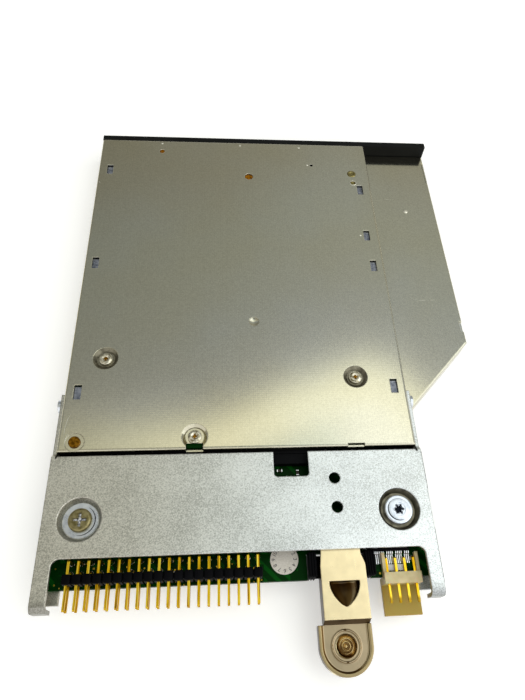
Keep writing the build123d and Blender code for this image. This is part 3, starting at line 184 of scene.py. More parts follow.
spot = add(sky, "ShaderNodeMapRange", {**SMOOTH, "From Min": SPOT_RADIUS[0], "From Max": SPOT_RADIUS[1],
           "To Min": SPOT_LEVEL}, {"Value": spot_distance.outputs["Value"]})
shaded = add(sky, "ShaderNodeMix", MULTIPLY, {6: lit.outputs[2], 7: spot.outputs[0]})
fill = add(sky, "ShaderNodeMapRange", {**SMOOTH, "From Min": FILL_RANGE[0], "From Max": FILL_RANGE[1],
           "To Max": FILL_SHARE}, {"Value": lean_front})
filled = add(sky, "ShaderNodeMix", {**BLEND, 7: grey(FILL_LEVEL)}, {0: fill.outputs[0], 6: shaded.outputs[2]})
overhead = add(sky, "ShaderNodeBackground", {"Strength": STUDIO_STRENGTH}, {"Color": filled.outputs[2]})
walls = add(sky, "ShaderNodeBackground", {"Color": grey(1.0), "Strength": 1.0})
above_wall = add(sky, "ShaderNodeMapRange", {**SMOOTH, "From Min": WALL_TOP[0], "From Max": WALL_TOP[1]},
                 {"Value": split.outputs["Z"]})
room = add(sky, "ShaderNodeMixShader", links={0: above_wall.outputs[0], 1: walls.outputs[0],
           2: overhead.outputs[0]})
add(sky, "ShaderNodeOutputWorld", links={"Surface": room.outputs[0]})


def new_material(name, shader_settings):
    """Starts a node material and returns it with its tree and its main shader."""
    made = bpy.data.materials.new(name)
    made.use_nodes = True
    tree = made.node_tree
    tree.nodes.clear()
    shader = add(tree, "ShaderNodeBsdfPrincipled", shader_settings)
    add(tree, "ShaderNodeOutputMaterial", links={"Surface": shader.outputs[0]})
    return made, tree, shader


FLOOR_SIZE, FLOOR_LIFT = 6.0, 0.36
SHARP_ANGLE = 0.7
floor_paper, tree, shader = new_material("floor_paper", {"Base Color": linear("#f4f3f1"), "Roughness": 0.8,
                                         "Specular IOR Level": 0.2})
path = add(tree, "ShaderNodeLightPath")
camera_or_glossy = add(tree, "ShaderNodeMath", {"operation": "MAXIMUM"},
                       {0: path.outputs["Is Camera Ray"], 1: path.outputs["Is Glossy Ray"]})
direct = add(tree, "ShaderNodeMath", {"operation": "MAXIMUM"},
             {0: camera_or_glossy.outputs[0], 1: path.outputs["Is Transmission Ray"]})
lift = add(tree, "ShaderNodeMath", {"operation": "MULTIPLY", 1: FLOOR_LIFT}, {0: direct.outputs[0]})
glow = add(tree, "ShaderNodeEmission", {"Color": grey(1.0)}, {"Strength": lift.outputs[0]})
both = add(tree, "ShaderNodeAddShader", links={0: shader.outputs[0], 1: glow.outputs[0]})
tree.links.new(both.outputs[0], tree.nodes["Material Output"].inputs["Surface"])


def mesh_object(name, build, material, body=None):
    """Makes a mesh object from a function that fills a bmesh, and lets it ride on a body."""
    shape = bmesh.new()
    build(shape)
    bmesh.ops.recalc_face_normals(shape, faces=shape.faces)
    mesh = bpy.data.meshes.new(name)
    shape.to_mesh(mesh)
    shape.free()
    for polygon in mesh.polygons:
        polygon.use_smooth = True
    mesh.set_sharp_from_angle(angle=SHARP_ANGLE)
    mesh.materials.append(material)
    made = bpy.data.objects.new(name, mesh)
    bpy.context.scene.collection.objects.link(made)
    if body:
        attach(made, body)
    return made


def floor_plane(shape):
    """One big square at the height of the object's lowest face."""
    bmesh.ops.create_grid(shape, x_segments=1, y_segments=1, size=FLOOR_SIZE / 2,
                          matrix=Matrix.Translation((0, 0, cad_box[0][2])))


mesh_object("floor", floor_plane, floor_paper)


def dress(material, *names):
    """Gives CAD nodes a material in their own slots."""
    for name in names:
        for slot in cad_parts[name].material_slots:
            slot.material = material


# Base case: the deep-drawn lower housing of thin tin-free steel, skin-rolled in line with the drive.
# The rolling leaves fine lines and a faint net of dots about 0.7 mm apart, raised in relief and a little paler as a
# painted glint.
# The bends are a few tenths of a millimetre round and catch a thin bright line.
CASE_COLOUR = "#cbc7b4"
ROLL_LINE_MM, EMBOSS_MM, FLECK_MM = 0.35, 0.66, 0.5


def wire(tree, shader, colour, roughness=None, normal=None):
    """Links a colour, and a roughness and a normal where given, into the main shader."""
    for name, source in (("Base Color", colour), ("Roughness", roughness), ("Normal", normal)):
        if source is not None:
            tree.links.new(source, shader.inputs[name])


def rolled_steel(name, colour, roughness, emboss, edge_mm):
    """Thin rolled steel sheet with fine lines, a faint embossed net and slow tint changes."""
    made, tree, shader = new_material(name, {"Metallic": 1.0})
    place = add(tree, "ShaderNodeTexCoord").outputs["Object"]
    stretched = add(tree, "ShaderNodeMapping", {"Scale": (1 / (ROLL_LINE_MM * MM), 12, 60)}, {"Vector": place})
    lines = add(tree, "ShaderNodeTexNoise", {"Scale": 1.0, "Detail": 2.0}, {"Vector": stretched.outputs[0]})
    fleck = add(tree, "ShaderNodeTexNoise", {"Scale": 1 / (FLECK_MM * MM), "Detail": 2.0}, {"Vector": place})
    net = add(tree, "ShaderNodeTexVoronoi", {"Scale": 1 / (EMBOSS_MM * MM), "Randomness": 0.15}, {"Vector": place})
    dots = add(tree, "ShaderNodeMapRange", {"From Min": 0.16, "From Max": 0.44, "To Min": 1.0, "To Max": 0.0},
               {"Value": net.outputs["Distance"]})
    shade = add(tree, "ShaderNodeValToRGB", {"stops": [(0.3, linear(colour, 0.98)), (0.7, linear(colour, 1.01))]},
                {"Fac": lines.outputs["Fac"]})
    drift = add(tree, "ShaderNodeTexNoise", {"Scale": 18.0, "Detail": 3.0}, {"Vector": place})
    warmth = add(tree, "ShaderNodeValToRGB", {"stops": [(0.38, linear("#f7f5ee")), (0.66, linear("#f9fbff"))]},
                 {"Fac": drift.outputs["Fac"]})
    tinted = add(tree, "ShaderNodeMix", MULTIPLY, {6: shade.outputs[0], 7: warmth.outputs[0]})
    speck = add(tree, "ShaderNodeMapRange", {"From Min": 0.3, "From Max": 0.7, "To Min": 0.9, "To Max": 1.06},
                {"Value": fleck.outputs["Fac"]})
    # The embossed dots lift the colour a few per cent as a painted glint, on top of the random speck.
    speck_and_painted_glint = add(tree, "ShaderNodeMath", {"operation": "MULTIPLY_ADD", 1: 0.05 * emboss},
                {0: dots.outputs[0], 2: speck.outputs[0]})
    flecked = add(tree, "ShaderNodeMix", MULTIPLY, {6: tinted.outputs[2], 7: speck_and_painted_glint.outputs[0]})
    rough = add(tree, "ShaderNodeMapRange", {"To Min": roughness * 0.9, "To Max": roughness * 1.15},
                {"Value": fleck.outputs["Fac"]})
    height = add(tree, "ShaderNodeMath", {"operation": "MULTIPLY_ADD", 1: emboss},
                 {0: dots.outputs[0], 2: fleck.outputs["Fac"]})
    edges = add(tree, "ShaderNodeBevel", {"samples": 4, "Radius": edge_mm * MM})
    relief = add(tree, "ShaderNodeBump", {"Strength": 0.07, "Distance": 0.02 * MM},
                 {"Height": height.outputs[0], "Normal": edges.outputs[0]})
    wire(tree, shader, flecked.outputs[2], rough.outputs[0], relief.outputs[0])
    return made


case_steel = rolled_steel("rolled_case_steel", CASE_COLOUR, 0.125, 1.0, 0.35)
dress(case_steel, "base_case")


# Fixings and marks of the case floor: rivet ends, a plugged sight hole and small pressed pips.
# The rivets are dull brass-plated steel; the pips are pressed into the sheet itself, and are coloured paler than it
# as painted highlights.
# Under two of the holes amber sensor resin shows.
FLOOR_TOP = 12.7
WING_TOP = 7.8
PIP_PLACES = [(-41.3, 61.85, FLOOR_TOP), (-11.2, 61.7, FLOOR_TOP), (12.1, 61.3, FLOOR_TOP),
              (-63.0, 40.5, FLOOR_TOP - 0.1), (31.6, 16.5, FLOOR_TOP), (14.8, 51.7, FLOOR_TOP)]
SENSOR_HOLES = [(-8.0, 44.8, 1.48), (-41.1, 57.5, 0.95)]
SIGHT_HOLE = (-7.8, -20.3, 1.6)
POST_PLACE = (31.8, 47.3)
SMALL_RIVET_PLACE = (31.9, 42.5)
WING_PIP_PLACE = (52.2, 32.9)


def lathe(shape, profile, centre, segments=24):
    """Turns a profile of radius and height, in millimetres, round an upright axis."""
    x, y, z = centre
    rings = []
    for radius, rise in profile:
        count = segments if radius > 0 else 1
        rings.append([shape.verts.new(((x + radius * math.cos(2 * math.pi * i / segments)) * MM,
                                       (y + radius * math.sin(2 * math.pi * i / segments)) * MM,
                                       (z + rise) * MM)) for i in range(count)])
    for lower, upper in zip(rings, rings[1:]):
        for i in range(segments):
            near, far = i, (i + 1) % segments
            corners = [lower[near % len(lower)], lower[far % len(lower)],
                       upper[far % len(upper)], upper[near % len(upper)]]
            corners = list(dict.fromkeys(corners))
            if len(corners) > 2:
                shape.faces.new(corners)


def turned_metal(name, colour, dark, roughness, ring_mm, patch_mm=1.1):
    """Metal turned or headed: fine rings in its height and darker tarnish in patches."""
    made, tree, shader = new_material(name, {"Metallic": 1.0})
    place = add(tree, "ShaderNodeTexCoord").outputs["Object"]
    patches = add(tree, "ShaderNodeTexNoise", {"Scale": 1 / (patch_mm * MM), "Detail": 3.0}, {"Vector": place})
    tint = add(tree, "ShaderNodeValToRGB", {"stops": [(0.35, linear(dark)), (0.62, linear(colour))]},
               {"Fac": patches.outputs["Fac"]})
    rings = add(tree, "ShaderNodeTexWave", {"wave_type": "RINGS", "rings_direction": "Z",
                "Scale": 0.16 / (ring_mm * MM), "Distortion": 0.3}, {"Vector": place})
    rough = add(tree, "ShaderNodeMapRange", {"To Min": roughness * 0.8, "To Max": roughness * 1.3},
                {"Value": patches.outputs["Fac"]})
    edges = add(tree, "ShaderNodeBevel", {"samples": 4, "Radius": 0.12 * MM})
    relief = add(tree, "ShaderNodeBump", {"Strength": 0.1, "Distance": 0.02 * MM},
                 {"Height": rings.outputs["Fac"], "Normal": edges.outputs[0]})
    wire(tree, shader, tint.outputs[0], rough.outputs[0], relief.outputs[0])
    return made


def pressed_pips(shape):
    """Low domes where the die bears on the sheet, coloured as painted highlights."""
    for x, y, z in PIP_PLACES:
        lathe(shape, [(0.42, 0.0), (0.36, 0.05), (0.2, 0.1), (0.0, 0.12)], (x, y, z), 14)
    lathe(shape, [(0.95, -0.02), (0.8, 0.1), (0.45, 0.22), (0.0, 0.27)], (*WING_PIP_PLACE, WING_TOP), 20)


def sight_plug(shape):
    """Shallow bowl pressed below the floor that closes the sight hole."""
    x, y, radius = SIGHT_HOLE
    lathe(shape, [(0.0, -0.42), (radius * 0.8, -0.38), (radius, -0.18)], (x, y, FLOOR_TOP), 28)


def rivet_ends(shape):
    """Peened end of the lock post, and the small rivet beside it."""
    lathe(shape, [(1.72, 0.0), (1.6, 0.1), (1.1, 0.16), (0.95, 0.06), (0.4, 0.02), (0.0, 0.05)],
          (*POST_PLACE, FLOOR_TOP), 28)
    lathe(shape, [(0.98, -0.3), (0.7, -0.12), (0.35, -0.22), (0.0, -0.24)], (*SMALL_RIVET_PLACE, FLOOR_TOP),
          22)


def small_rivet_rim(shape):
    """Raised rim round the small rivet's hole, coloured as a painted highlight."""
    lathe(shape, [(1.3, 0.0), (1.2, 0.07), (1.04, 0.08), (1.0, -0.1)], (*SMALL_RIVET_PLACE, FLOOR_TOP), 24)


def sensor_resin(shape):
    """Moulded resin that fills the two sensor holes from below."""
    for x, y, radius in SENSOR_HOLES:
        lathe(shape, [(radius, -0.6), (radius, -0.42), (radius * 0.7, -0.36), (0.0, -0.38)],
              (x, y, FLOOR_TOP), 24)


# Pale steel: painted highlights on the pips and the small rivet's rim, and the bright steel laid bare by the
# scratches.
pip_highlight_and_scratch_steel = turned_metal("pip_highlight_and_scratch_sheet", "#f2efe2", "#dcd8c6", 0.3, 0.3)
rivet_brass = turned_metal("dull_rivet_brass", "#9a8f5e", "#6d6238", 0.34, 0.18, 0.5)
mesh_object("pressed_pips", pressed_pips, pip_highlight_and_scratch_steel, "root")
mesh_object("sight_plug", sight_plug, case_steel, "root")
mesh_object("rivet_ends", rivet_ends, rivet_brass, "root")
mesh_object("small_rivet_rim", small_rivet_rim, pip_highlight_and_scratch_steel, "root")

resin, tree, shader = new_material("amber_sensor_resin", {"Roughness": 0.45, "Specular IOR Level": 0.08})
place = add(tree, "ShaderNodeTexCoord").outputs["Object"]
cloudiness = add(tree, "ShaderNodeTexNoise", {"Scale": 900.0, "Detail": 3.0}, {"Vector": place})
amber = add(tree, "ShaderNodeValToRGB", {"stops": [(0.35, linear("#5a3500")), (0.7, linear("#a86c02"))]},
            {"Fac": cloudiness.outputs["Fac"]})
wire(tree, shader, amber.outputs[0])
mesh_object("sensor_resin", sensor_resin, resin, "root")

# Case dimples: the sheet around each screw is drawn down to a seat, and its wall lies in shade.
# A low rolled crown closes the head of each screw around its recess.
DIMPLE_PLACES = [(-53.4, -33.4), (23.1, -40.5)]
CASE_SCREW_PLACES = DIMPLE_PLACES + [(-25.9, -59.0)]


def dimple_walls(shape):
    """Shaded skin over the wall and seat of each closed dimple."""
    for x, y in DIMPLE_PLACES:
        lathe(shape, [(3.72, 12.69), (3.5, 12.56), (2.66, 11.78), (1.95, 11.76)], (x, y, 0.0), 48)


def screw_crowns(shape):
    """Rounded ring around the recess of each head."""
    for x, y in CASE_SCREW_PLACES:
        lathe(shape, [(1.9, 12.41), (1.75, 12.52), (1.35, 12.64), (1.0, 12.66), (0.85, 12.58), (0.7, 12.43),
                      (0.0, 12.42)], (x, y, 0.0), 32)


shaded_wall = turned_metal("shaded_dimple_wall", "#8b8674", "#5f5b4d", 0.42, 0.3, 2.0)
crown_steel = turned_metal("bright_screw_crown", "#f0ead6", "#8d8468", 0.25, 0.3, 0.8)
mesh_object("dimple_walls", dimple_walls, shaded_wall, "root")
mesh_object("screw_crowns", screw_crowns, crown_steel, "root")

# Slot tabs: narrow tongues lanced out of the floor and pressed just below it, to hold the inner frame.
# Each leaves a slot with a dark gap at its far end, and shows the sheet's bluish galvanised inner side.
SLOT_PLACES = [(-59.8, 47.2), (-60.4, 3.2), (-60.4, -44.7), (34.2, 38.9), (33.9, 16.4), (34.6, 2.7),
               (34.8, -43.8)]
TAB_HALF_WIDTH, TAB_NEAR, TAB_FAR = 1.07, -2.32, 2.05
TAB_TOP, TAB_BOTTOM, TAB_DROP = 12.06, 11.8, 0.14


def skin(shape, rings, closed=(0, -1)):
    """Joins rings of points in millimetres with faces, and closes the rings whose numbers are given."""
    rows = [[shape.verts.new([value * MM for value in point]) for point in ring] for ring in rings]
    for first, second in zip(rows, rows[1:]):
        for i in range(len(first)):
            after = (i + 1) % len(first)
            shape.faces.new((first[i], first[after], second[after], second[i]))
    for number in closed:
        shape.faces.new(rows[number])


def slot_tabs(shape):
    """Tabs that slope down a little towards the gap at their far end."""
    for x, y in SLOT_PLACES:
        outline = [(x + side * TAB_HALF_WIDTH, y + along, drop) for side, along, drop in
                   ((-1, TAB_NEAR, 0), (1, TAB_NEAR, 0), (1, TAB_FAR, TAB_DROP), (-1, TAB_FAR, TAB_DROP))]
        skin(shape, [[(a, b, TAB_TOP - drop) for a, b, drop in outline],
                     [(a, b, TAB_BOTTOM) for a, b, drop in outline]])


tab_steel = turned_metal("galvanised_inner_side", "#a3a7b3", "#6f7482", 0.4, 0.3, 0.9)
mesh_object("slot_tabs", slot_tabs, tab_steel, "root")

# Scratches: handling marks where the rear left corner has rubbed, and one fine line on the wing.
# They cut through the dull skin of the sheet to brighter steel.
SCRATCH_RUNS = [
    ([(-62.6, -45.5), (-63.1, -48.4), (-63.3, -51.6), (-63.2, -55.0)], 0.24, FLOOR_TOP - 0.12),
    ([(-62.0, -49.8), (-62.6, -52.0), (-62.9, -54.6), (-62.9, -58.2)], 0.18, FLOOR_TOP - 0.02),
    ([(-61.2, -51.4), (-62.0, -53.2), (-62.5, -56.0), (-62.4, -59.4)], 0.14, FLOOR_TOP),
    ([(-61.4, -57.6), (-61.9, -59.2), (-61.9, -61.2)], 0.2, FLOOR_TOP),
    ([(44.6, 39.1), (46.2, 38.9), (48.4, 39.0)], 0.1, WING_TOP),
    ([(47.6, -8.0), (51.0, -8.6), (56.0, -8.4)], 0.1, WING_TOP),
]


def scratch_slivers(shape):
    """Thin curved slivers, widest in the middle, lying on the sheet."""
    for points, width, level in SCRATCH_RUNS:
        left_edge, right_edge = [], []
        for i, (x, y) in enumerate(points):
            before, after = points[max(i - 1, 0)], points[min(i + 1, len(points) - 1)]
            run = Vector((after[0] - before[0], after[1] - before[1])).normalized()
            half = width / 2 * math.sin(math.pi * (i + 0.25) / (len(points) - 0.5))
            left_edge.append(shape.verts.new(((x - run.y * half) * MM, (y + run.x * half) * MM,
                                              (level + 0.012) * MM)))
            right_edge.append(shape.verts.new(((x + run.y * half) * MM, (y - run.x * half) * MM,
                                               (level + 0.012) * MM)))
        for i in range(len(points) - 1):
            shape.faces.new((left_edge[i], right_edge[i], right_edge[i + 1], left_edge[i + 1]))


mesh_object("scratch_slivers", scratch_slivers, pip_highlight_and_scratch_steel, "root")

# Case screws and brass stud: pan heads of bright steel whose crosses are flat dark brass-coloured plates,
# painted shade of their recesses, and a round brass stud peened into the floor at the rear corner.
# The stud has gone deep gold-brown.
CASE_CROSS_FLOOR, CASE_CROSS_REACH, CASE_CROSS_SLOT, CASE_CROSS_RISE = 12.45, 1.3, 0.6, 0.05


def cross_plate(shape, place, level, reach, slot, thickness):
    """Flat cross with tapered arms, as the ground of a screw's recess."""
    quarter = [(slot, reach), (slot, slot), (reach, slot)]
    outline = quarter + [(a, -b) for a, b in reversed(quarter)]
    outline += [(-a, -b) for a, b in quarter] + [(-a, b) for a, b in reversed(quarter)]
    skin(shape, [[(place[0] + a / 2 * part, place[1] + b / 2 * part, level + rise) for a, b in outline]
                 for part, rise in ((1.0, 0.0), (0.94, thickness))], closed=(-1,))


def case_screw_grounds(shape):
    """Cross grounds of the three case screws, dark as painted shade of their recesses."""
    for place in CASE_SCREW_PLACES:
        cross_plate(shape, place, CASE_CROSS_FLOOR, CASE_CROSS_REACH, CASE_CROSS_SLOT, CASE_CROSS_RISE)


screw_steel = turned_metal("headed_screw_steel", "#e4dfcc", "#b7b09a", 0.24, 0.2)
dark_brass_and_recess_shade = turned_metal("tarnished_brass_and_recess_shade", "#9a6c1c", "#5d3d08", 0.34, 0.2, 0.7)
dress(screw_steel, "case_screws")
dress(dark_brass_and_recess_shade, "brass_stud", "board_standoffs")
# The crosses take the dark brass colour as painted shade of the recesses; the stud and standoffs are really
# tarnished brass.
mesh_object("case_screw_grounds", case_screw_grounds, dark_brass_and_recess_shade, "root")

# Lock post and ear screws: bright zinc-plated steel, cold-headed and barrel plated.
# The plating is bluish and slightly uneven.
bright_steel = turned_metal("zinc_plated_fastener", "#e9edf2", "#c3c9d2", 0.26, 0.25)
dress(bright_steel, "lock_post", "ear_screws", "sled_motor", "solenoid")

# Top cover: the same sheet, pressed flat, that laps the case walls and is what the drive lies on.
# It is a little duller from handling, with the same rolling lines.
cover_steel = rolled_steel("rolled_cover_steel", "#bdb9aa", 0.27, 0.4, 0.25)
dress(cover_steel, "top_cover")

# Guide shells and rails: thin stainless strip, rolled to a channel and left bare.
# Drawn along the drive, so its lines run the same way and the gloss is soft.
stainless = rolled_steel("bare_stainless", "#c9c9c5", 0.3, 0.0, 0.1)
dress(stainless, "guide_shell_left", "guide_shell_right", "rail_left", "rail_right", "guide_rod_main",
      "guide_rod_sub", "lead_screw")


# Main board: glass-epoxy laminate with copper tracks under green solder mask.
# Tracks show as slightly paler, raised lines under the lacquer, with small gold-plated vias.
MASK_DARK, MASK_TRACK = "#012c04", "#04480c"
TRACK_PITCH_MM, VIA_PITCH_MM, RUN_MM = 0.9, 2.1, 3.2

solder_mask, tree, shader = new_material("green_solder_mask", {"Roughness": 0.35, "Specular IOR Level": 0.04})
place = add(tree, "ShaderNodeTexCoord").outputs["Object"]
runs = add(tree, "ShaderNodeTexVoronoi", {"Scale": 1 / (RUN_MM * MM), "distance": "CHEBYCHEV",
           "feature": "F2"}, {"Vector": place})
tracks = add(tree, "ShaderNodeTexWave", {"wave_type": "BANDS", "bands_direction": "DIAGONAL",
             "Scale": 0.16 / (TRACK_PITCH_MM * MM), "Distortion": 0.0}, {"Vector": place})
track_mask = add(tree, "ShaderNodeMath", {"operation": "GREATER_THAN", 1: 0.62}, {0: tracks.outputs["Fac"]})
in_run = add(tree, "ShaderNodeMath", {"operation": "GREATER_THAN", 1: 0.62}, {0: runs.outputs["Distance"]})
shown = add(tree, "ShaderNodeMath", {"operation": "MULTIPLY"}, {0: track_mask.outputs[0], 1: in_run.outputs[0]})
green = add(tree, "ShaderNodeMix", {**BLEND, 6: linear(MASK_DARK), 7: linear(MASK_TRACK)},
            {0: shown.outputs[0]})
vias = add(tree, "ShaderNodeTexVoronoi", {"Scale": 1 / (VIA_PITCH_MM * MM)}, {"Vector": place})
via_dot = add(tree, "ShaderNodeMath", {"operation": "LESS_THAN", 1: 0.13}, {0: vias.outputs["Distance"]})
plated = add(tree, "ShaderNodeMix", {**BLEND, 7: linear("#b99a3a")},
             {0: via_dot.outputs[0], 6: green.outputs[2]})
raised = add(tree, "ShaderNodeBump", {"Strength": 0.25, "Distance": 0.00003}, {"Height": shown.outputs[0]})
wire(tree, shader, plated.outputs[2], normal=raised.outputs[0])
tree.links.new(via_dot.outputs[0], shader.inputs["Metallic"])
dress(solder_mask, "main_board", "tray_board")


# Black mouldings: chips, drive connector and adapter socket, in glass-filled polyester.
# Moulded with a fine spark-eroded texture, nearly black, with a dull sheen.
def moulded_plastic(name, colour, wear_and_shade_tint, roughness, grain_mm, depth, specular=0.35):
    """Moulded plastic: a fine eroded grain, slight colour drift and scuffs."""
    made, tree, shader = new_material(name, {"IOR": 1.5, "Specular IOR Level": specular})
    place = add(tree, "ShaderNodeTexCoord").outputs["Object"]
    grain = add(tree, "ShaderNodeTexNoise", {"Scale": 1 / (grain_mm * MM), "Detail": 2.0}, {"Vector": place})
    drift = add(tree, "ShaderNodeTexNoise", {"Scale": 70.0, "Detail": 4.0}, {"Vector": place})
    tint = add(tree, "ShaderNodeValToRGB", {"stops": [(0.4, linear(colour)), (0.75, linear(wear_and_shade_tint))]},
               {"Fac": drift.outputs["Fac"]})
    rough = add(tree, "ShaderNodeMapRange", {"To Min": roughness * 0.8, "To Max": roughness * 1.2},
                {"Value": drift.outputs["Fac"]})
    edges = add(tree, "ShaderNodeBevel", {"samples": 4, "Radius": 0.12 * MM})
    relief = add(tree, "ShaderNodeBump", {"Strength": 0.3, "Distance": depth * MM},
                 {"Height": grain.outputs["Fac"], "Normal": edges.outputs[0]})
    wire(tree, shader, tint.outputs[0], rough.outputs[0], relief.outputs[0])
    return made


black_polyester = moulded_plastic("black_polyester", "#060608", "#101113", 0.55, 0.12, 0.02, 0.06)
dress(black_polyester, "drive_connector", "adapter_socket", "board_chips")


# Rear bracket: folded mild steel sheet, zinc plated after pressing.
# The electroplated zinc shows a fine matt speckle of crystals, pale bluish grey, with painted shade to the left and
# on the tails.
# Its pressed dimples and bends are rounded, with a bright line along them.
ZINC_LIGHT, ZINC_DARK, ZINC_LEFT_SHADE = "#f2f6f7", "#b3b6b4", "#ece5d8"
SPECKLE_MM = 0.34
TAIL_FOLD_END, TAIL_FOLD_START = -103.7, -99.5

zinc, tree, shader = new_material("zinc_plated_sheet", {"Metallic": 1.0})
place = add(tree, "ShaderNodeTexCoord").outputs["Object"]
crystals = add(tree, "ShaderNodeTexNoise", {"Scale": 1 / (SPECKLE_MM * MM), "Detail": 3.0, "Roughness": 0.7},
               {"Vector": place})
coarse = add(tree, "ShaderNodeTexNoise", {"Scale": 60.0, "Detail": 3.0}, {"Vector": place})
mixed = add(tree, "ShaderNodeMath", {"operation": "MULTIPLY_ADD", 1: 0.3},
            {0: coarse.outputs["Fac"], 2: crystals.outputs["Fac"]})
speckle = add(tree, "ShaderNodeValToRGB", {"stops": [(0.5, linear(ZINC_DARK)), (0.74, linear(ZINC_LIGHT))]},
              {"Fac": mixed.outputs[0]})
matt = add(tree, "ShaderNodeMapRange", {"From Min": 0.3, "From Max": 0.7, "To Min": 0.3, "To Max": 0.44},
           {"Value": crystals.outputs["Fac"]})
along = add(tree, "ShaderNodeSeparateXYZ", links={0: place})
# Painted shade: the bracket is made greyer and warmer towards its left end.
left_shade = add(tree, "ShaderNodeMapRange", {**SMOOTH, "From Min": -0.06, "From Max": 0.02},
              {"Value": along.outputs["X"]})
wear_and_shade_tint = add(tree, "ShaderNodeMix", {**BLEND, 6: linear(ZINC_LEFT_SHADE), 7: grey(1.0)}, {0: left_shade.outputs[0]})
left_shaded_speckle = add(tree, "ShaderNodeMix", MULTIPLY, {6: speckle.outputs[0], 7: wear_and_shade_tint.outputs[2]})
# Painted shade: the turned-down tails at the rear are darkened to half.
tail_shade = add(tree, "ShaderNodeMapRange", {**SMOOTH, "From Min": TAIL_FOLD_END * MM,
                "From Max": TAIL_FOLD_START * MM, "To Min": 0.5}, {"Value": along.outputs["Y"]})
tail_shaded = add(tree, "ShaderNodeMix", MULTIPLY, {6: left_shaded_speckle.outputs[2], 7: tail_shade.outputs[0]})
pressed_edges = add(tree, "ShaderNodeBevel", {"samples": 6, "Radius": 0.45 * MM})
spangle = add(tree, "ShaderNodeBump", {"Strength": 0.28, "Distance": 0.04 * MM},
              {"Height": crystals.outputs["Fac"], "Normal": pressed_edges.outputs[0]})
wire(tree, shader, tail_shaded.outputs[2], matt.outputs[0], spangle.outputs[0])
dress(zinc, "rear_bracket")

# Seam shade: two thin black strips laid between the case and the adapter board, as painted shade of the dark seam.
# They close the seam in front of the bracket on both sides of the connector, and are quite matt.
FILM_RUNS = [(-64.3, -38.2), (12.2, 38.6)]
FILM_REAR, FILM_FRONT, FILM_LEVEL = -67.4, -63.05, 8.2
FILM_STEPS, FILM_CROWN, FILM_THICKNESS = 12, 0.35, 0.15


def painted_seam_shade(shape):
    """Two thin dark strips of painted seam shade, with a slight crown in the middle."""
    for x0, x1 in FILM_RUNS:
        rings = []
        for i in range(FILM_STEPS + 1):
            part = i / FILM_STEPS
            y = FILM_REAR + (FILM_FRONT - FILM_REAR) * part
            top = FILM_LEVEL + FILM_CROWN * math.sin(math.pi * part)
            under = top - FILM_THICKNESS
            rings.append([(x0, y, top), (x1, y, top), (x1, y, under), (x0, y, under)])
        skin(shape, rings)


# Black plastic standing in for the shade in the seam.
seam_shade_plastic = moulded_plastic("painted_seam_shade_film", "#050506", "#0a0a0c", 0.6, 0.3, 0.01, 0.04)
mesh_object("painted_seam_shade", painted_seam_shade, seam_shade_plastic, "root")

# Adapter board: the same green laminate, thicker, screwed under the bracket.
# Header pins pass through it and are hand soldered above and below, with shiny tin fillets.
dress(solder_mask, "adapter_board")
BOARD_TOP, BOARD_BOTTOM = 7.4, 5.8
HEADER_FIRST_X, HEADER_PITCH, HEADER_COLUMNS = -57.0, 2.54, 20
HEADER_LEG_ROWS = (-91.7, -94.24)
POWER_FIRST_X, POWER_PITCH, POWER_PINS, POWER_LEG_Y = 26.0, 2.5, 4, -93.4


def tin_fillets(shape):
    """Small cones of solder round each header leg, above and below the board."""
    legs = [(HEADER_FIRST_X + HEADER_PITCH * i, y) for i in range(HEADER_COLUMNS) for y in HEADER_LEG_ROWS]
    legs += [(POWER_FIRST_X + POWER_PITCH * i, POWER_LEG_Y) for i in range(POWER_PINS)]
    chance = random.Random(7)
    for x, y in legs:
        spread = chance.uniform(0.62, 0.78)
        lathe(shape, [(spread, 0.01), (spread * 0.8, 0.12), (0.46, 0.3), (0.38, 0.5)], (x, y, BOARD_TOP), 12)
        lathe(shape, [(0.9, -0.01), (0.8, -0.2), (0.5, -0.55), (0.36, -0.8)], (x, y, BOARD_BOTTOM), 12)


tin = turned_metal("reflowed_tin", "#f1f1ee", "#c9c8c2", 0.22, 0.4, 0.5)
mesh_object("tin_fillets", tin_fillets, tin, "root")

# Bridge chip: a black epoxy flat package under the bracket's edge, its tinned leads in a fine comb.
# Leads are formed to a gull wing at 0.5 mm pitch and reflow soldered to pads.
CHIP_LOW, CHIP_HIGH = (21.9, -91.6, 7.5), (32.7, -85.4, 8.8)
LEAD_PITCH, LEAD_WIDTH, LEAD_COUNT = 0.5, 0.26, 22
LEAD_OUT, LEAD_FOOT_END, LEAD_THICKNESS, PIN_CLEARANCE = 0.7, 3.1, 0.14, 0.42


def bevelled_block(shape, low, high, cut):
    """Block between two corners in millimetres, with all its edges rounded over."""
    middle = Vector([(a + b) / 2 * MM for a, b in zip(low, high)])
    size = [(b - a) * MM for a, b in zip(low, high)]
    made = bmesh.ops.create_cube(shape, size=1.0,
                                 matrix=Matrix.Translation(middle) @ Matrix.Diagonal((*size, 1.0)))
    edges = list({edge for vertex in made["verts"] for edge in vertex.link_edges})
    bmesh.ops.bevel(shape, geom=edges, offset=cut * MM, segments=2, affect="EDGES", profile=0.5)


def swept_strip(shape, path, x, width, thickness):
    """Flat strip of metal bent along a path of y and z, at one x."""
    rings = []
    for i, (y, z) in enumerate(path):
        before, after = path[max(i - 1, 0)], path[min(i + 1, len(path) - 1)]
        run = Vector((after[0] - before[0], after[1] - before[1])).normalized()
        up = Vector((-run.y, run.x)) * (thickness / 2)
        if up.y < 0:
            up = -up
        rings.append([(x + side * width / 2, y + face * up.x, z + face * up.y)
                      for side, face in ((-1, -1), (1, -1), (1, 1), (-1, 1))])
    skin(shape, rings)


def bridge_chip_body(shape):
    """Epoxy body of the bridge chip."""
    bevelled_block(shape, CHIP_LOW, CHIP_HIGH, 0.15)


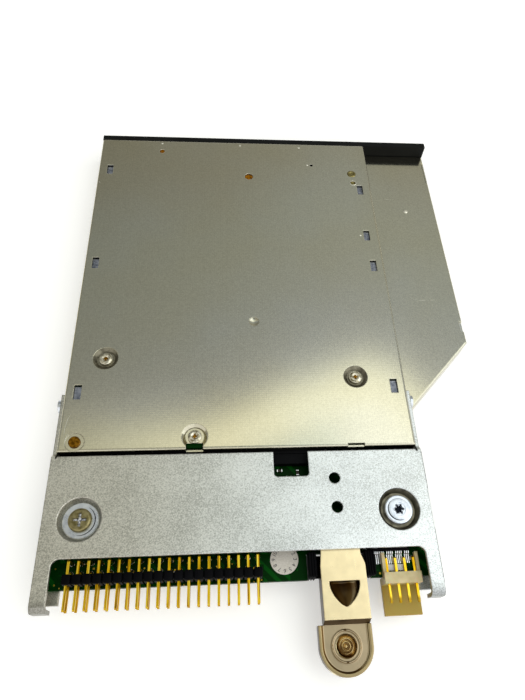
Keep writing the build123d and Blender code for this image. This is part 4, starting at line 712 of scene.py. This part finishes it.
def bridge_chip_leads(shape):
    """Comb of gull-wing leads, left out where a power pin's leg stands."""
    y, top = CHIP_LOW[1], (CHIP_LOW[2] + CHIP_HIGH[2]) / 2
    foot = BOARD_TOP + 0.1
    path = [(y + 0.1, top), (y - LEAD_OUT * 0.4, top), (y - LEAD_OUT * 0.8, top - 0.15),
            (y - LEAD_OUT, foot + 0.12), (y - LEAD_OUT - 0.2, foot), (y - LEAD_FOOT_END, foot)]
    power_x = [POWER_FIRST_X + POWER_PITCH * i for i in range(POWER_PINS)]
    for i in range(LEAD_COUNT):
        x = (CHIP_LOW[0] + CHIP_HIGH[0]) / 2 + (i - (LEAD_COUNT - 1) / 2) * LEAD_PITCH
        if min(abs(x - pin) for pin in power_x) > PIN_CLEARANCE:
            swept_strip(shape, path, x, LEAD_WIDTH, LEAD_THICKNESS)
    far_path = [(y + CHIP_HIGH[1] - py, pz) for py, pz in path]
    for i in range(LEAD_COUNT - 3):
        swept_strip(shape, far_path, CHIP_LOW[0] + 0.6 + i * LEAD_PITCH, LEAD_WIDTH, LEAD_THICKNESS)


chip_epoxy = moulded_plastic("chip_epoxy", "#08080a", "#121214", 0.6, 0.1, 0.012, 0.06)
lead_tin = turned_metal("plated_lead_tin", "#ffffff", "#f0f2f6", 0.3, 0.4, 0.6)
mesh_object("bridge_chip_body", bridge_chip_body, chip_epoxy, "root")
mesh_object("bridge_chip_leads", bridge_chip_leads, lead_tin, "root")

# Small board parts: a white ceramic array behind the power pins, and chip resistors and capacitors.
# Each has a ceramic body with tinned ends, reflow soldered flat on the board.
CERAMIC_ARRAY = ((25.1, -96.5, 7.42), (30.9, -94.9, 7.84))
PART_PLACES = [(-54.4, -89.6, 0), (-46.9, -89.4, 90), (-39.1, -89.9, 0), (-31.2, -94.9, 0), (-24.2, -89.5, 90),
               (-14.7, -89.2, 0), (-9.0, -88.4, 90), (2.6, -88.0, 0), (1.0, -70.3, 0), (3.6, -68.9, 90),
               (-1.6, -68.2, 0), (20.6, -90.0, 90), (20.6, -87.0, 90)]
PART_LENGTH, PART_WIDTH, PART_HEIGHT, PART_END = 1.6, 0.8, 0.5, 0.32


def ceramic_array(shape):
    """Ribbed ceramic body of the array."""
    low, high = CERAMIC_ARRAY
    bevelled_block(shape, low, high, 0.08)
    for i in range(7):
        x = low[0] + 0.5 + i * 0.8
        bevelled_block(shape, (x, low[1] - 0.12, low[2]), (x + 0.36, low[1] + 0.2, high[2] - 0.08), 0.04)


def each_part(shape, start, end, grow):
    """One stretch of every chip part, from start to end along its length."""
    wide = PART_WIDTH / 2 + grow
    for x, y, turn in PART_PLACES:
        low, high = ((start, -wide), (end, wide)) if turn == 0 else ((-wide, start), (wide, end))
        bevelled_block(shape, (x + low[0], y + low[1], BOARD_TOP),
                       (x + high[0], y + high[1], BOARD_TOP + PART_HEIGHT + grow), 0.05)


def part_bodies(shape):
    """Ceramic middles of the chip parts."""
    each_part(shape, -PART_LENGTH / 2 + PART_END, PART_LENGTH / 2 - PART_END, 0.0)


def part_ends(shape):
    """Tinned ends of the chip parts."""
    each_part(shape, -PART_LENGTH / 2, -PART_LENGTH / 2 + PART_END, 0.02)
    each_part(shape, PART_LENGTH / 2 - PART_END, PART_LENGTH / 2, 0.02)


white_ceramic = moulded_plastic("white_ceramic", "#e6e8ea", "#f6f7f8", 0.4, 0.2, 0.008)
dark_ceramic = moulded_plastic("chip_part_ceramic", "#2a2018", "#463627", 0.45, 0.15, 0.006)
mesh_object("ceramic_array", ceramic_array, white_ceramic, "root")
mesh_object("part_bodies", part_bodies, dark_ceramic, "root")
mesh_object("part_ends", part_ends, lead_tin, "root")


# Bracket screws: on the left an old pan head gone olive over a bright washer, on the right a newer
# flanged head with a six-lobe socket, zinc plated and almost white.
# The left one's cross is painted bright white and bluish dark as its highlight and reflection, over some polish from
# the driver.
LEFT_SCREW, WASHER_TOP = (-55.4, -81.5), 11.2
LEFT_CROSS_FLOOR, LEFT_CROSS_REACH, LEFT_CROSS_SLOT, LEFT_CROSS_RISE = 11.72, 3.5, 0.72, 0.12
RIGHT_SCREW, RIGHT_HEAD_TOP = (30.6, -81.3), 12.1
LOBE_MIDDLE, LOBE_SWING, LOBE_STEPS, ARC_STEPS = 0.98, 0.26, 72, 24
EDGE_X, EDGE_STRETCHES = 39.58, [(-76.0, -65.0), (-100.5, -86.6)]


def arc_sliver(shape, centre, inner, outer, start, end, level):
    """Thin flat arc between two radii and two angles in degrees, pointed at both ends."""
    middle, rings = (inner + outer) / 2, []
    for i in range(ARC_STEPS + 1):
        part = i / ARC_STEPS
        turn = math.radians(start + (end - start) * part)
        half = (outer - inner) / 2 * max(math.sin(math.pi * part) ** 0.5, 0.05)
        rings.append([(centre[0] + radius * math.cos(turn), centre[1] + radius * math.sin(turn), z)
                      for radius, z in ((middle - half, level), (middle + half, level), (middle, level + 0.02))])
    skin(shape, rings, closed=())


def left_cross_ground(shape):
    """Ground of the left screw's cross, coloured as a painted highlight and reflection."""
    cross_plate(shape, LEFT_SCREW, LEFT_CROSS_FLOOR, LEFT_CROSS_REACH, LEFT_CROSS_SLOT, LEFT_CROSS_RISE)


def right_screw_step(shape):
    """Raised inner face of the right screw's head, with the step that rings it."""
    lathe(shape, [(3.0, 0.0), (2.95, 0.1), (2.8, 0.14), (1.85, 0.14), (1.8, 0.0)],
          (*RIGHT_SCREW, RIGHT_HEAD_TOP), 40)


def washer_line(shape):
    """Dark line of painted shade where the left washer's face steps down, on its right half."""
    arc_sliver(shape, LEFT_SCREW, 3.72, 3.98, -100, 62, WASHER_TOP + 0.02)


def right_head_line(shape):
    """Dark line of painted shade at the step of the right screw's head, on its left half."""
    arc_sliver(shape, RIGHT_SCREW, 2.9, 3.1, 130, 292, RIGHT_HEAD_TOP + 0.15)


def right_dimple_shade(shape):
    """Shaded skin over the wall and seat of the right dimple."""
    lathe(shape, [(5.6, 12.6), (5.35, 12.1), (4.74, 10.82), (3.95, 10.8)], (*RIGHT_SCREW, 0.0), 56)


def painted_edge_shade(shape):
    """Thin dark strips of painted shade along two stretches of the bracket's right side."""
    for rear, front in EDGE_STRETCHES:
        # Each strip is near-black steel standing in for the shade along the edge.
        bevelled_block(shape, (EDGE_X, rear, 11.6), (EDGE_X + 0.17, front, 12.55), 0.05)


def six_lobe_ground(shape):
    """Flat dark six-lobe shape on the head, painted shade of the socket."""
    outline = []
    for i in range(LOBE_STEPS):
        turn = 2 * math.pi * i / LOBE_STEPS
        reach = LOBE_MIDDLE + LOBE_SWING * math.cos(6 * turn)
        outline.append((RIGHT_SCREW[0] + reach * math.cos(turn), RIGHT_SCREW[1] + reach * math.sin(turn)))
    skin(shape, [[(a, b, RIGHT_HEAD_TOP + rise) for a, b in outline] for rise in (0.01, 0.03)], closed=(-1,))


olive_screw = turned_metal("dull_chromate_screw", "#9b9068", "#716843", 0.36, 0.2)
dress(olive_screw, "bracket_screw_left")
washer_steel = turned_metal("bright_washer", "#dfe3e8", "#c2c8d2", 0.28, 0.3, 2.0)
dress(washer_steel, "bracket_washer_left")
white_zinc = turned_metal("white_zinc_screw", "#e6ebf4", "#cdd4df", 0.3, 0.3)
dress(white_zinc, "bracket_screw_right")
# Painted highlight and reflection for the left screw's cross, over some driver polish.
cross_polish_and_highlight = turned_metal("driver_polish_and_painted_highlight", "#f4f6ff", "#39405a", 0.22, 0.3, 0.45)
# Near-black steel for painted shade: the step lines, the six-lobe socket and the bracket's right edge.
shaded_steel = turned_metal("painted_shade_steel", "#20242e", "#0b0d13", 0.5, 0.3, 0.5)
mesh_object("left_cross_ground", left_cross_ground, cross_polish_and_highlight, "root")
for build, metal in ((washer_line, shaded_steel), (right_head_line, shaded_steel), (right_dimple_shade, shaded_wall),
                     (painted_edge_shade, shaded_steel), (six_lobe_ground, shaded_steel)):
    mesh_object(build.__name__, build, metal, "root")
mesh_object("right_screw_step", right_screw_step, white_zinc, "root")

# Forty pin header: a moulded block of black nylon, scored between columns so that it can be snapped.
# It is nearly black, with no more than a dull sheen.
black_nylon = moulded_plastic("black_moulded_nylon", "#040406", "#0d0d11", 0.5, 0.12, 0.02, 0.05)
BLOCK_REAR, BLOCK_FRONT, BLOCK_TOP = -97.4, -94.9, 12.5
CELL_HALF, CELL_CUT, CORE_INSET, CORE_DROP = 1.12, 0.34, 0.5, 0.75


def header_block(shape):
    """Twenty cells with scored gaps between them, on one core."""
    last = HEADER_FIRST_X + HEADER_PITCH * (HEADER_COLUMNS - 1)
    bevelled_block(shape, (HEADER_FIRST_X - 1.0, BLOCK_REAR + CORE_INSET, BOARD_TOP + 0.02),
                   (last + 1.0, BLOCK_FRONT - CORE_INSET, BLOCK_TOP - CORE_DROP), 0.05)
    for i in range(HEADER_COLUMNS):
        x = HEADER_FIRST_X + HEADER_PITCH * i
        bevelled_block(shape, (x - CELL_HALF, BLOCK_REAR, BOARD_TOP + 0.02),
                       (x + CELL_HALF, BLOCK_FRONT, BLOCK_TOP), CELL_CUT)


header_cells = mesh_object("header_cells", header_block, black_nylon, "root")
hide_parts("ide_header_body")

# Tongue guide: two ribbed cheeks and a floor strip, moulded in the same black nylon.
# The fine upright ribs stiffen it and show as narrow dark lines beside the tongue.
GUIDE_REAR, GUIDE_FRONT, GUIDE_FLOOR, GUIDE_TOP = -97.8, -91.5, 4.6, 11.0
GUIDE_CHEEKS = [(4.7, 6.75), (19.85, 22.5)]
RIB_WIDTH, RIB_PITCH = 0.34, 0.66


def guide_cheeks(shape):
    """Cheeks with ribs standing proud of their tops and rear ends."""
    bevelled_block(shape, (GUIDE_CHEEKS[0][0], GUIDE_REAR + 0.4, GUIDE_FLOOR),
                   (GUIDE_CHEEKS[1][1], GUIDE_FRONT - 0.2, GUIDE_FLOOR + 1.0), 0.1)
    for x0, x1 in GUIDE_CHEEKS:
        bevelled_block(shape, (x0, GUIDE_REAR + 0.3, GUIDE_FLOOR), (x1, GUIDE_FRONT, GUIDE_TOP - 0.35), 0.1)
        for i in range(int((x1 - x0) / RIB_PITCH)):
            x = x0 + 0.1 + i * RIB_PITCH
            bevelled_block(shape, (x, GUIDE_REAR, GUIDE_FLOOR + 0.1),
                           (x + RIB_WIDTH, GUIDE_FRONT - 0.1, GUIDE_TOP), 0.1)


cheeks = mesh_object("guide_cheeks", guide_cheeks, black_nylon, "root")
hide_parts("latch_guide")

# Header pins: square brass wire with a thin gold flash over nickel, cut and coined to a point.
# Deep yellow and glossy, with faint drawing lines, and browner towards the cut tips.
gold, tree, shader = new_material("gold_flashed_wire", {"Metallic": 1.0})
place = add(tree, "ShaderNodeTexCoord").outputs["Object"]
drawn = add(tree, "ShaderNodeMapping", {"Scale": (3600, 120, 3600)}, {"Vector": place})
streaks = add(tree, "ShaderNodeTexNoise", {"Scale": 1.0, "Detail": 2.0}, {"Vector": drawn.outputs[0]})
streak = streaks.outputs["Fac"]
tone = add(tree, "ShaderNodeValToRGB", {"stops": [(0.32, linear("#a87a08")), (0.5, linear("#f2c21c")),
                                                  (0.68, linear("#ffe65a"))]}, {"Fac": streak}).outputs[0]
along = add(tree, "ShaderNodeSeparateXYZ", links={0: place})
tip = add(tree, "ShaderNodeMapRange", {"From Min": -0.1036, "From Max": -0.1028, "To Min": 0.35, "To Max": 1.0},
          {"Value": along.outputs["Y"]})
browned = add(tree, "ShaderNodeMix", {**BLEND, 6: linear("#6b4208")}, {0: tip.outputs[0], 7: tone})
gloss = add(tree, "ShaderNodeMapRange", {"To Min": 0.2, "To Max": 0.36}, {"Value": streak})
wire(tree, shader, browned.outputs[2], gloss.outputs[0])
dress(gold, "ide_header_pins", "power_header_pins")

# Power header: natural nylon 66, unpigmented, moulded in one piece with its lock plate.
# Milky on the bar and a deeper honey colour low down, where light has gone through more of it.
nylon, tree, shader = new_material("natural_nylon", {"Roughness": 0.4, "IOR": 1.53, "Specular IOR Level": 0.3,
                                   "Subsurface Weight": 0.25, "Subsurface Scale": 0.0015})
place = add(tree, "ShaderNodeTexCoord").outputs["Object"]
flow = add(tree, "ShaderNodeTexNoise", {"Scale": 240.0, "Detail": 3.0}, {"Vector": place})
milky = add(tree, "ShaderNodeValToRGB", {"stops": [(0.35, linear("#c9b684")), (0.7, linear("#e6d9ae"))]},
            {"Fac": flow.outputs["Fac"]})
rise = add(tree, "ShaderNodeSeparateXYZ", links={0: place})
high = add(tree, "ShaderNodeMapRange", {**SMOOTH, "From Min": 5.2 * MM, "From Max": 8.8 * MM},
           {"Value": rise.outputs["Z"]})
honey = add(tree, "ShaderNodeMix", {**BLEND, 6: linear("#b39a45")}, {0: high.outputs[0], 7: milky.outputs[0]})
moulded_edges = add(tree, "ShaderNodeBevel", {"samples": 4, "Radius": 0.2 * MM})
flow_relief = add(tree, "ShaderNodeBump", {"Strength": 0.15, "Distance": 0.03 * MM},
                  {"Height": flow.outputs["Fac"], "Normal": moulded_edges.outputs[0]})
wire(tree, shader, honey.outputs[2], normal=flow_relief.outputs[0])
dress(nylon, "power_header_body")

# Round label: matt coated paper, die-cut, stuck to the board, with a plain ring of numbers on it.
# Off-white with a faint fibre; the ink is dark grey.
LABEL_PLACE, LABEL_TOP = (-1.5, -92.6), 7.52
LABEL_RING_RADIUS, LABEL_DIGIT_MM, LABEL_RING_COUNT = 2.85, 1.0, 12

paper, tree, shader = new_material("label_paper", {"Roughness": 0.75, "Specular IOR Level": 0.2})
place = add(tree, "ShaderNodeTexCoord").outputs["Object"]
pulp = add(tree, "ShaderNodeTexNoise", {"Scale": 2500.0, "Detail": 4.0}, {"Vector": place})
fibres = add(tree, "ShaderNodeValToRGB", {"stops": [(0.3, linear("#cfc8bd")), (0.7, linear("#e2ddd4"))]},
             {"Fac": pulp.outputs["Fac"]})
wire(tree, shader, fibres.outputs[0])
dress(paper, "round_label")


def printed_numbers(shape, entries, level):
    """Numbers as thin meshes; each entry is text, x, y, turn in degrees and height in millimetres."""
    for text, x, y, turn, size in entries:
        letters = bpy.data.curves.new("number", "FONT")
        letters.body = text
        letters.size = size * MM / 0.7
        letters.align_x = "CENTER"
        letters.align_y = "CENTER"
        carrier = bpy.data.objects.new("number", letters)
        flat = bpy.data.meshes.new_from_object(carrier)
        flat.transform(Matrix.Translation((x * MM, y * MM, level * MM))
                       @ Matrix.Rotation(math.radians(turn), 4, "Z"))
        shape.from_mesh(flat)
        bpy.data.objects.remove(carrier)
        bpy.data.meshes.remove(flat)
        bpy.data.curves.remove(letters)


def label_numbers(shape):
    """A plain ring of counting numbers round the label."""
    entries = []
    for i in range(LABEL_RING_COUNT):
        turn = math.pi / 2 - 2 * math.pi * (i + 1) / LABEL_RING_COUNT
        entries.append((str(i + 1), LABEL_PLACE[0] + LABEL_RING_RADIUS * math.cos(turn),
                        LABEL_PLACE[1] + LABEL_RING_RADIUS * math.sin(turn),
                        math.degrees(turn) - 90, LABEL_DIGIT_MM))
    printed_numbers(shape, entries, LABEL_TOP + 0.012)


stamp_ink = moulded_plastic("grey_stamp_ink", "#1f1d20", "#3a373b", 0.6, 0.2, 0.002)
mesh_object("label_numbers", label_numbers, stamp_ink, "root")

# Catch tongue: zinc die casting, satin nickel plated, its top ground flat.
# The top is warm, almost champagne; sides, slope, scoop and pad carry painted shade, and one flank a painted
# highlight.
# It has fine random scratches from use.
# Colour by height paints shade on the pad and a brighter rim; colour by facing paints the scoop's shade and
# highlight.
TONGUE_BY_LEVEL = [(0.0, "#a89678"), (0.06, "#b3a285"), (0.14, "#8f7c5c"), (0.19, "#ab9870"), (0.9, "#efdcb0")]
TONGUE_FLANK_SHADE_AND_HIGHLIGHT = [(0.0, "#33240f"), (0.12, "#5a4320"), (0.24, "#ffefc0"), (0.34, "#8a6f42"), (0.5, "#4b371c"),
                   (0.8, "#7a5c30"), (1.0, "#6d5632")]
nickel, tree, shader = new_material("satin_nickel_plate", {"Metallic": 1.0})
source = add(tree, "ShaderNodeTexCoord")
place = source.outputs["Object"]
tumbled = add(tree, "ShaderNodeTexNoise", {"Scale": 260.0, "Detail": 4.0}, {"Vector": place})
scratch_place = add(tree, "ShaderNodeMapping", {"Scale": (4000, 260, 900), "Rotation": (0, 0, 0.3)},
                    {"Vector": place})
scratches = add(tree, "ShaderNodeTexNoise", {"Scale": 1.0, "Detail": 2.0}, {"Vector": scratch_place.outputs[0]})
level = add(tree, "ShaderNodeSeparateXYZ", links={0: place})
rise = add(tree, "ShaderNodeMapRange", {"From Min": 8.4 * MM, "From Max": 11.6 * MM},
           {"Value": level.outputs["Z"]})
facing = add(tree, "ShaderNodeSeparateXYZ", links={0: source.outputs["Normal"]})
flank = add(tree, "ShaderNodeMapRange", {"From Min": -1.0}, {"Value": facing.outputs["X"]})
by_level, painted_flank_light = [
    add(tree, "ShaderNodeValToRGB", {"stops": [(at, linear(code)) for at, code in stops]},
        {"Fac": value.outputs[0]}).outputs[0]
    for stops, value in ((TONGUE_BY_LEVEL, rise), (TONGUE_FLANK_SHADE_AND_HIGHLIGHT, flank))]
mottle = add(tree, "ShaderNodeMapRange", {"From Min": 0.3, "From Max": 0.7, "To Min": 0.9, "To Max": 1.06},
             {"Value": tumbled.outputs["Fac"]})
champagne = add(tree, "ShaderNodeMix", MULTIPLY, {6: by_level, 7: mottle.outputs[0]})
# Upward faces take the champagne colour; tilted faces take the painted flank shade and highlight.
facing_up = add(tree, "ShaderNodeMapRange", {**SMOOTH, "From Min": 0.9, "From Max": 0.985},
             {"Value": facing.outputs["Z"]})
lit_and_shaded_finish = add(tree, "ShaderNodeMix", BLEND, {0: facing_up.outputs[0], 6: painted_flank_light, 7: champagne.outputs[2]})
satin = add(tree, "ShaderNodeMapRange", {"To Min": 0.22, "To Max": 0.4}, {"Value": scratches.outputs["Fac"]})
stamped_edges = add(tree, "ShaderNodeBevel", {"samples": 6, "Radius": 0.35 * MM})
scored = add(tree, "ShaderNodeBump", {"Strength": 0.12, "Distance": 0.02 * MM},
             {"Height": scratches.outputs["Fac"], "Normal": stamped_edges.outputs[0]})
wire(tree, shader, lit_and_shaded_finish.outputs[2], satin.outputs[0], scored.outputs[0])
TONGUE_X, TONGUE_TOP, PLATE_UNDER, BLOCK_UNDER = 13.1, 11.5, 10.6, 6.6
NECK_HALF, TONGUE_HALF, NECK_END, SHOULDER_END = 5.3, 6.0, -92.2, -95.0
STEP_START, STEP_END = -108.1, -109.0
PAD_CENTRE, PAD_RADIUS, PAD_RIM, PAD_FLOOR, PAD_UNDER = -113.9, 6.85, 9.0, 8.5, 6.0
EYE_RADIUS, EYE_FLOOR = 2.5, 7.0
SCOOP_WALL, SCOOP_LENGTH, SCOOP_HALF, SCOOP_DEPTH = -99.0, 6.2, 4.0, 3.0
NECK_SHIFT, BLOCK_SHIFT, PAD_SHIFT = 0.1, 0.4, -0.15
PAD_RIM_WIDTH, PAD_LIP, PAD_RING, PAD_RING_RADIUS, PAD_RING_HALF = (0.75, 1.25), 0.2, 0.16, 3.6, 0.35
TONGUE_COLUMNS = 97
STATIONS = [(-84.0, 0.4, 35), (-98.0, 0.1, 110), (-108.995, 0.01, 2), (-109.1, 0.12, 98)]


def ease(value, low, high):
    """Smooth step from 0 at low to 1 at high."""
    part = min(max((value - low) / (high - low), 0.0), 1.0)
    return part * part * (3 - 2 * part)


def tongue_half(y):
    """Half the tongue's width at y."""
    if y > NECK_END:
        return NECK_HALF
    if y > SHOULDER_END:
        return NECK_HALF + (TONGUE_HALF - NECK_HALF) * (NECK_END - y) / (NECK_END - SHOULDER_END)
    if y > STEP_END:
        return TONGUE_HALF
    if y > PAD_CENTRE:
        return PAD_RADIUS
    return math.sqrt(max(PAD_RADIUS ** 2 - (y - PAD_CENTRE) ** 2, 0.04))


def tongue_middle(y):
    """Middle of the tongue's width at y: the block sits a little right, the pad a little left."""
    if y > SHOULDER_END:
        return TONGUE_X + NECK_SHIFT + (BLOCK_SHIFT - NECK_SHIFT) * ease(-y, -NECK_END, -SHOULDER_END)
    return TONGUE_X + (BLOCK_SHIFT if y > STEP_END else PAD_SHIFT)


def tongue_height(x, y):
    """Height of the tongue's upper face: flat, scooped, stepped down, and dished in the pad."""
    across = x - tongue_middle(y)
    if y >= STEP_START:
        run = (SCOOP_WALL - y) / SCOOP_LENGTH
        if 0 < run < 1:
            half = SCOOP_HALF * (1 - run * run) ** 0.8
            if abs(across) < half:
                return TONGUE_TOP - SCOOP_DEPTH * (1 - run) ** 0.8 * math.sqrt(1 - (across / half) ** 2)
        return TONGUE_TOP
    if y > STEP_END:
        return TONGUE_TOP + (PAD_FLOOR - TONGUE_TOP) * (STEP_START - y) / (STEP_START - STEP_END)
    radius = math.hypot(across, y - PAD_CENTRE)
    inset = PAD_RADIUS - (abs(across) if y > PAD_CENTRE else radius)
    if radius < EYE_RADIUS:
        return EYE_FLOOR
    lip = PAD_LIP * (1 - ease(radius, EYE_RADIUS, EYE_RADIUS + 0.4))
    lip += PAD_RING * max(0.0, 1 - abs(radius - PAD_RING_RADIUS) / PAD_RING_HALF)
    return PAD_FLOOR + (PAD_RIM - PAD_FLOOR) * (1 - ease(inset, *PAD_RIM_WIDTH)) + lip


def catch_tongue(shape):
    """Closed body made of rings from front to rear, its upper face following tongue_height."""
    stations = {round(start - step * i, 4) for start, step, count in STATIONS for i in range(count)}
    rings = []
    for y in sorted(stations, reverse=True):
        if y < PAD_CENTRE - PAD_RADIUS + 0.01:
            continue
        half, middle = tongue_half(y), tongue_middle(y)
        under = PLATE_UNDER if y > SHOULDER_END else (BLOCK_UNDER if y > STEP_END else PAD_UNDER)
        places = [middle + half * (2 * i / (TONGUE_COLUMNS - 1) - 1) for i in range(TONGUE_COLUMNS)]
        rings.append([(x, y, tongue_height(x, y)) for x in places]
                     + [(middle + half, y, under), (middle - half, y, under)])
    skin(shape, rings)


def tongue_eyelet(shape):
    """Turned eyelet pressed into the pad's hole, with three rings and a small raised centre."""
    lathe(shape, [(2.45, 1.5), (2.2, 1.0), (2.0, 0.9), (1.85, 1.35), (1.65, 1.4), (1.5, 0.9), (1.3, 0.8),
                  (1.15, 1.2), (0.95, 1.25), (0.8, 0.7), (0.6, 0.6), (0.45, 0.95), (0.2, 1.1), (0.0, 1.12)],
          (TONGUE_X + PAD_SHIFT, PAD_CENTRE, EYE_FLOOR), 40)


tongue = mesh_object("catch_tongue", catch_tongue, nickel, "latch")
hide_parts("latch_slide")
eyelet_brass = turned_metal("turned_eyelet_brass", "#d9c08a", "#7d5f36", 0.22, 0.15, 3.0)
mesh_object("tongue_eyelet", tongue_eyelet, eyelet_brass, "latch")

# Tray and bezel: black ABS mouldings; the bezel has a finer, silkier grain than the tray.
# Both are charcoal rather than pure black where light grazes them.
bezel_abs = moulded_plastic("bezel_abs", "#0b0c0c", "#171817", 0.42, 0.18, 0.015, 0.1)
dress(bezel_abs, "bezel", "eject_button")
tray_abs = moulded_plastic("tray_abs", "#1c1d20", "#2a2b2f", 0.55, 0.25, 0.02)
dress(tray_abs, "tray")

# Activity light: a clear acrylic light pipe, unlit, with a pale green cast.
# Smooth and slightly cloudy.
light_pipe = moulded_plastic("light_pipe_acrylic", "#6f8a63", "#7f9a72", 0.15, 0.4, 0.002)
dress(light_pipe, "activity_light")

# Traverse chassis and shield: galvanised sheet, blanked and pressed, left plain.
# Smoother than the case, with the same rolling lines.
plain_sheet = rolled_steel("plain_galvanised_sheet", "#bfc1bf", 0.3, 0.2, 0.15)
dress(plain_sheet, "traverse_chassis", "tray_shield")

# Spindle motor, turntable and pickup sled: aluminium and die-cast zinc, turned or cast.
# Pale and evenly satin.
cast_metal = turned_metal("satin_casting", "#cfd0d2", "#a6a7aa", 0.38, 0.3)
dress(cast_metal, "turntable", "pickup_sled", "spindle_motor")

# Lens holder, disc catches and lock lever: small precision mouldings in black acetal.
# Smoother than the headers, with a soft sheen.
black_acetal = moulded_plastic("black_acetal", "#121316", "#212226", 0.42, 0.15, 0.008)
dress(black_acetal, "disc_catch_1", "disc_catch_2", "disc_catch_3", "lens_holder", "lock_lever")

# Dampers: soft black rubber grommets.
# Matt, with no gloss at all.
damper_rubber = moulded_plastic("damper_rubber", "#141416", "#1c1c1f", 0.85, 0.2, 0.01, 0.15)
dress(damper_rubber, "traverse_dampers")

# Lens: moulded glass with an anti-reflection coat, bluish purple in reflection.
# Very smooth, and clear below the film.
lens_glass, tree, shader = new_material("coated_lens", {"Base Color": linear("#8d9bd8"), "Roughness": 0.05,
                                        "Transmission Weight": 0.8, "IOR": 1.52})
place = add(tree, "ShaderNodeTexCoord").outputs["Object"]
coat = add(tree, "ShaderNodeTexNoise", {"Scale": 300.0, "Detail": 2.0}, {"Vector": place})
coat_tone = add(tree, "ShaderNodeValToRGB", {"stops": [(0.4, linear("#7f8fd0")), (0.6, linear("#a9a2e0"))]},
                {"Fac": coat.outputs["Fac"]})
wire(tree, shader, coat_tone.outputs[0])
dress(lens_glass, "lens")
